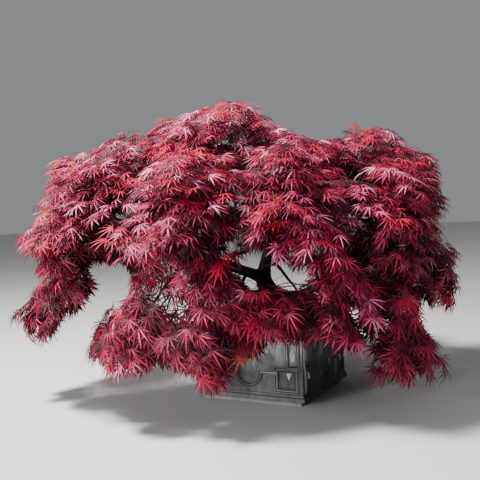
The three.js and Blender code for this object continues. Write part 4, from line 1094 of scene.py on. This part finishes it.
# Where a spray's cover is felt, how many sprays hide it, and how outward turns into upward with height
COVER_AWAY, COVER_WITHIN, COVER_FULL = 150, 120, 14
UPWARD_FROM, UPWARD_OVER, LEAST_UPWARD = 500, 900, 0.25
LEAVES_PROUD = 12  # as far as the hub and tip of a leaf may stand out of the box of the solids
LEAF_SEEN = 0.6  # as far along a leaf as it has to keep inside the crown's outline
LEAF_ROUGH, LEAF_SHINE = 0.5, 0.22
LEAF_SEED, DEALING_SEED = 501, 901
# Black purple and dark maroon are painted shade, and rose, lavender pink and pale pink painted sheen,
# reflection of the sky and glints
LEAF_TONES = {
    "black_purple": (0.018, 0.003, 0.008),
    "dark_maroon": (0.066, 0.003, 0.012),
    "wine": (0.150, 0.006, 0.026),
    "crimson": (0.290, 0.009, 0.042),
    "rose": (0.420, 0.036, 0.115),
    "lavender_pink": (0.540, 0.160, 0.280),
    "pale_pink": (0.820, 0.330, 0.430),
    "scarlet": (0.420, 0.008, 0.032),
    "bronze": (0.460, 0.075, 0.050),
    "violet": (0.130, 0.040, 0.220),
}
# How much light is painted into a spray's tone: all of them, more toward the outside and the top, less under
# cover, and uneven
ALL_LIGHT, OUTER_LIGHT, UPPER_LIGHT, COVER_DARKENS, UNEVEN_LIGHT = 0.4, 0.3, 0.45, 0.62, 0.34
LIGHT_FROM, LIGHT_OVER = 300, 1300
FRONT_TO = 100
# Where the front of the crown has a tone of its own, and the share of sprays that take it: lavender pink is a
# painted highlight there and black purple a painted shadow. Each place: its middle across and down in the
# photograph's pixels, and half its width and height
LEFT_SKIRT = [(40, 316, 30, 34), (112, 345, 34, 30)]
TONE_PLACES = [
    ("bronze", 0.75, [(57, 166, 13, 12), (37, 209, 9, 7)]),
    ("bronze", 1.0, [(249, 346, 10, 10)]),
    ("scarlet", 0.5, [(165, 149, 40, 8), (95, 152, 17, 8), (240, 177, 46, 8), (275, 220, 18, 8),
                      (370, 130, 30, 8), (408, 188, 19, 14), (305, 216, 20, 8), (404, 160, 25, 7),
                      (235, 101, 22, 6)]),
    ("lavender_pink", 0.25, [(168, 131, 38, 12), (235, 119, 26, 13), (326, 153, 32, 10), (92, 166, 20, 8),
                            (66, 203, 15, 7), (173, 226, 40, 8), (380, 210, 18, 9)]),
    ("black_purple", 0.6, [(197, 233, 22, 14), (250, 160, 14, 8), (388, 230, 24, 12), (396, 342, 14, 10),
                           (330, 300, 14, 14), (300, 213, 10, 8)]),
    ("violet", 1.0, [(222, 340, 10, 11)]),
    ("crimson", 0.4, LEFT_SKIRT),
    ("wine", 0.75, [*LEFT_SKIRT, (180, 345, 30, 24), (410, 350, 30, 30)]),
]
TONE_LADDER = ("black_purple", "dark_maroon", "wine", "crimson", "rose", "lavender_pink")
# The shares of each tone among the sprays, from those in the dark to those in full light, which paints shade
# and light into the leaves
TONES_BY_LIGHT = [
    (0.36, (("black_purple", 0.45), ("dark_maroon", 0.55))),
    (0.58, (("dark_maroon", 0.25), ("wine", 0.45), ("crimson", 0.3))),
    (0.80, (("wine", 0.2), ("crimson", 0.56), ("rose", 0.16), ("scarlet", 0.08))),
    (9.99, (("wine", 0.1), ("crimson", 0.44), ("rose", 0.24), ("lavender_pink", 0.1), ("scarlet", 0.12))),
]
ODD_STEPS = ((-2, 0.12), (-1, 0.24), (0, 0.42), (1, 0.22))  # how far a leaf is from its spray on that ladder
ONE_DARKER = 0.6  # how often a leaf's other lobes are one tone darker, and not two
OTHER_LOBES = {"scarlet": "crimson", "bronze": "bronze", "violet": "black_purple"}
GLINT_TONES = ("pale_pink", "rose")


def leaf_pattern(wide):
    """A leaf of length 1 along X: its points, how much each droops, its faces, and which are bright."""
    points, droop, faces, bright = [], [], [], []
    for lobe, reach in enumerate(LOBE_REACH):
        turn = (lobe - (len(LOBE_REACH) - 1) / 2) * LOBE_TURN
        ahead = np.array([math.cos(turn), math.sin(turn), 0])
        aside = np.array([-math.sin(turn), math.cos(turn), 0])
        start = len(points)
        points.append(np.zeros(3))
        droop.append(0.0)
        stations = LONG_LOBE if lobe in LONG_LOBES else SHORT_LOBE
        for along, width in stations:
            half = wide * width * (LOBE_WIDE + LOBE_WIDER * reach)
            for side in (-1, 0, 1):
                reached = reach * (along + LOBE_TOOTH * side * (1 if lobe % 2 else -1))
                point = ahead * reached + aside * half * side
                point[2] = -LOBE_ROOF * half * abs(side)
                points.append(point)
                droop.append(-reached ** 2)
        points.append(ahead * reach)
        droop.append(-reach ** 2)
        low, tip = start + 1, len(points) - 1
        high = tip - 3
        faces += [(start, low + 1, low), (start, low + 2, low + 1)]
        if high > low:
            faces += [(low, low + 1, high + 1, high), (low + 1, low + 2, high + 2, high + 1)]
        faces += [(high, high + 1, tip), (high + 1, high + 2, tip)]
        bright += [lobe in BRIGHT_LOBES] * (len(faces) - len(bright))
    start = len(points)
    points.append(np.zeros(3))
    for corner in range(3):
        turn = 2 * math.pi * corner / 3
        points.append(np.array([-STALK_LONG, STALK_THICK * math.cos(turn), STALK_THICK * math.sin(turn)]))
        faces.append((start, start + 1 + corner, start + 1 + (corner + 1) % 3))
    droop += [0.0] * 4
    bright += [False] * 3
    return np.array(points), np.array(droop), faces, np.array(bright)


def leaf_hang(habit, height, draw):
    """A measure of a leaf's habit, from that of the low leaves and that of the top ones."""
    share = min(1.0, max(0.0, (height - HANGING_TO) / (SPREADING_FROM - HANGING_TO)))
    (low, high), (top_low, top_high) = HANGING[habit], SPREADING[habit]
    return between((low + (top_low - low) * share, high + (top_high - high) * share), draw)


def leaf_pose(base, heading, turn, draw, leading):
    """How a leaf hangs: out from the tree and down, more or less along its twig, its face turned outward."""
    outward = Vector((base.x, base.y * DEPTH_SHARE, 0)).normalized()
    along = Vector((heading.x, heading.y, 0))
    along = along.normalized() if along.length > 0.05 else outward.copy()
    along.rotate(Matrix.Rotation(turn + (draw() - 0.5) * SWING, 3, "Z"))
    along += outward * OUTWARD
    along.z += LEADER_UP if leading else -leaf_hang("down", base.z, draw)
    along.normalize()
    up = Vector((outward.x, outward.y, leaf_hang("face_up", base.z, draw)))
    up.x += (draw() - 0.5) * UNEVEN
    up.y += (draw() - 0.5) * UNEVEN
    up = (up - along * along.dot(up)).normalized()
    length = leaf_hang("long", base.z, draw)
    hub = base + along * STALK_LONG * length
    return hub, along, up, length, leaf_hang("droop", base.z, draw)


def cover_over(point):
    """How much grows over and outside a place: 0 on the crown's outside and 1 well inside it."""
    upward = max(LEAST_UPWARD, (point.z - UPWARD_FROM) / UPWARD_OVER)
    outward = Vector((point.x / CROWN_WIDE, point.y / CROWN_DEEP, upward)).normalized()
    near = spray_lookup.find_range(point + outward * COVER_AWAY, COVER_WITHIN)
    return min(1.0, len(near) / COVER_FULL)


def pick(shares, draw):
    """One of some things, each with its share."""
    chance = draw()
    for thing, share in shares:
        chance -= share
        if chance < 0:
            return thing
    return shares[-1][0]


def spray_tone(point, cover, draw):
    """The colour of a spray, from where it grows, with light and shade painted in: light and red outside and
    on top, dark inside and below.
    """
    outer = math.hypot(point.x / CROWN_WIDE, point.y / CROWN_DEEP)
    height = (point.z - LIGHT_FROM) / LIGHT_OVER
    light = OUTER_LIGHT * outer + UPPER_LIGHT * height + ALL_LIGHT - COVER_DARKENS * cover
    light += UNEVEN_LIGHT * (draw() - 0.5)
    usual = pick(next(shares for under, shares in TONES_BY_LIGHT if light < under), draw)
    chance = draw()
    if point.y < FRONT_TO:
        x, y = pixel_of(point)
        for tone, share, places in TONE_PLACES:
            if within(places, x, y) and chance < share:
                return tone
    return usual


def leaf_tone(tone, height, draw):
    """The tones of a leaf's lobes, painted lit and shaded: near its spray's, with a pale leaf painted as a
    glint now and then.
    """
    chance, step = draw(), pick(ODD_STEPS, draw)
    darker = 1 if draw() < ONE_DARKER else 2
    if tone not in TONE_LADDER:
        return tone, OTHER_LOBES[tone]
    rung = min(len(TONE_LADDER) - 1, max(0, TONE_LADDER.index(tone) + step))
    if chance < GLINT_LEAF * (height / CROWN_TOP) ** 2 and rung >= GLINT_RUNG:
        return GLINT_TONES
    return TONE_LADDER[rung], TONE_LADDER[max(min(rung, 1), rung - darker)]


def leaves_of(rows, space, draw):
    grown = []
    room = space.unwalled()
    room.proud = LEAVES_PROUD
    for curve, _, fineness in rows:
        cover = cover_over(curve.at(1))
        tone = spray_tone(curve.at(1), cover, draw)
        places = LEADER_LEAVES if fineness == 0 else SHOOT_LEAVES
        if fineness == 2:
            places = [(at, side * NODE_TURN) for at in LEAF_NODES for side in (-1, 1)] + list(TIP_LEAVES)
        for at, turn in places:
            pose = leaf_pose(curve.at(at), curve.direction(at), turn, draw, fineness == 0)
            hub, along, _, length, _ = pose
            own = leaf_tone(tone, hub.z, draw)
            tip = hub + along * length * LEAF_SEEN
            if thinned_at(hub, draw) or not (in_outline(hub) and in_outline(tip)):
                continue
            if room.off_the_rest(hub) and room.off_the_rest(hub + along * length):
                grown.append((*pose, own, cover))
    return grown


def leaf_piece(name, rows, materials):
    """All the leaves of some masses as one mesh, made from arrays."""
    hubs, ahead, up, length, hang, tones, cover = zip(*rows)
    hubs, ahead, up = np.array(hubs), np.array(ahead), np.array(up)
    slim, droop, faces, bright = leaf_pattern(SUN_WIDE)
    broad = leaf_pattern(SHADE_WIDE)[0]
    pattern = slim[None] + np.array(cover)[:, None, None] * (broad - slim)[None]
    aside = np.cross(up, ahead)
    rise = pattern[..., 2] + np.array(hang)[:, None] * droop[None]
    shape = pattern[..., :1] * ahead[:, None] + pattern[..., 1:2] * aside[:, None]
    points = hubs[:, None] + np.array(length)[:, None, None] * (shape + rise[..., None] * up[:, None])
    points = points.reshape(-1, 3) @ np.array(TREE_TURN.to_3x3()).T * MM
    corners = np.array([corner for face in faces for corner in face])
    all_corners = (corners[None] + np.arange(len(rows))[:, None] * len(slim)).ravel()
    all_counts = np.tile([len(face) for face in faces], len(rows))
    mesh = bpy.data.meshes.new(name)
    mesh.vertices.add(len(points))
    mesh.vertices.foreach_set("co", points.astype(np.float32).ravel())
    mesh.loops.add(len(all_corners))
    mesh.loops.foreach_set("vertex_index", all_corners.astype(np.int32))
    mesh.polygons.add(len(all_counts))
    mesh.polygons.foreach_set("loop_start", (np.cumsum(all_counts) - all_counts).astype(np.int32))
    order = list(materials)
    lobe_tones = np.array([[order.index(tone) for tone in pair] for pair in tones])
    marks = np.where(bright[None], lobe_tones[:, :1], lobe_tones[:, 1:])
    mesh.polygons.foreach_set("material_index", marks.ravel().astype(np.int32))
    for material in materials.values():
        mesh.materials.append(material)
    mesh.update(calc_edges=True)
    mesh.validate()
    return placed(name, mesh)


leaf_materials = {
    name: plain_finish("leaf_" + name, colour, LEAF_ROUGH, LEAF_SHINE) for name, colour in LEAF_TONES.items()
}
spray_tips = [curve.at(1) for rows in mass_twigs.values() for curve, _, fineness in rows if fineness == 2]
spray_lookup = lookup_of(spray_tips)
mass_leaves = {}
for number, name in enumerate(MASSES):
    mass_leaves[name] = leaves_of(mass_twigs[name], mass_spaces[name], seeded_draws(LEAF_SEED + number))
kept_share = LEAVES_IN_ALL / sum(len(leaves) for leaves in mass_leaves.values())
draw = seeded_draws(DEALING_SEED)
batches = [[]]
for name in MASSES:
    leaves = []
    for leaf in mass_leaves[name]:
        cover = leaf[-1]
        if draw() < kept_share * (KEPT_OUTSIDE + (KEPT_INSIDE - KEPT_OUTSIDE) * cover):
            leaves.append(leaf)
    if sum(len(grown) for _, grown in batches[-1]) + len(leaves) > MOST_LEAVES_A_PIECE:
        batches.append([])
    batches[-1].append((name, leaves))
for number, batch in enumerate(batches):
    rows = [row for _, grown in batch for row in grown]
    piece = leaf_piece(f"leaves_{number + 1}", rows, leaf_materials)
    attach(piece, "root")
    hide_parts(*[name for name, _ in batch])


# The stand for the picture: a plain pale floor, a soft light high on the left, a larger and weaker one low in
# front of the left side, and a pale surround. The camera stands at eye level, turned as it was held for the
# photograph.
FLOOR_REACH = 30
SURROUND, SURROUND_STRENGTH = (0.86, 0.88, 0.9, 1), 0.3


def area_light(name, place, toward, size, power, colour):
    data = bpy.data.lights.new(name, "AREA")
    data.size, data.energy, data.color = size, power, colour
    light = placed(name, data)
    light.location = place
    light.rotation_euler = (Vector(toward) - Vector(place)).to_track_quat("-Z", "Y").to_euler()
    light.visible_camera = False


floor_corners = [(FLOOR_REACH * x, FLOOR_REACH * y, 0) for x, y in ((-1, -1), (1, -1), (1, 1), (-1, 1))]
floor_finish = plain_finish("pale_floor", (0.62, 0.62, 0.60), 0.9)
floor = mesh_piece("floor", floor_corners, [(0, 1, 2, 3)], floor_finish)
area_light("key", place=(-2.2, -2.6, 6.0), toward=(0, 0, 0.9), size=0.9, power=1360, colour=(1.0, 0.98, 0.98))
area_light("fill", place=(-2.4, -7.6, 1.6), toward=(0, 0, 0.5), size=2.4, power=600, colour=(0.98, 0.98, 1.0))
world = bpy.data.worlds.new("surround")
world.use_nodes = True
world.node_tree.nodes["Background"].inputs["Color"].default_value = SURROUND
world.node_tree.nodes["Background"].inputs["Strength"].default_value = SURROUND_STRENGTH
bpy.context.scene.world = world

lens = bpy.data.cameras.new("camera")
lens.sensor_width = 36
lens.lens = lens.sensor_width * FOCAL_PIXELS / FRAME_PIXELS
camera = placed("camera", lens)
camera_turn = Matrix((VIEW_RIGHT, VIEW_UP, -VIEW_AHEAD)).transposed().to_4x4()
camera.matrix_world = Matrix.Translation(CAMERA_AT) @ camera_turn
bpy.context.scene.camera = camera
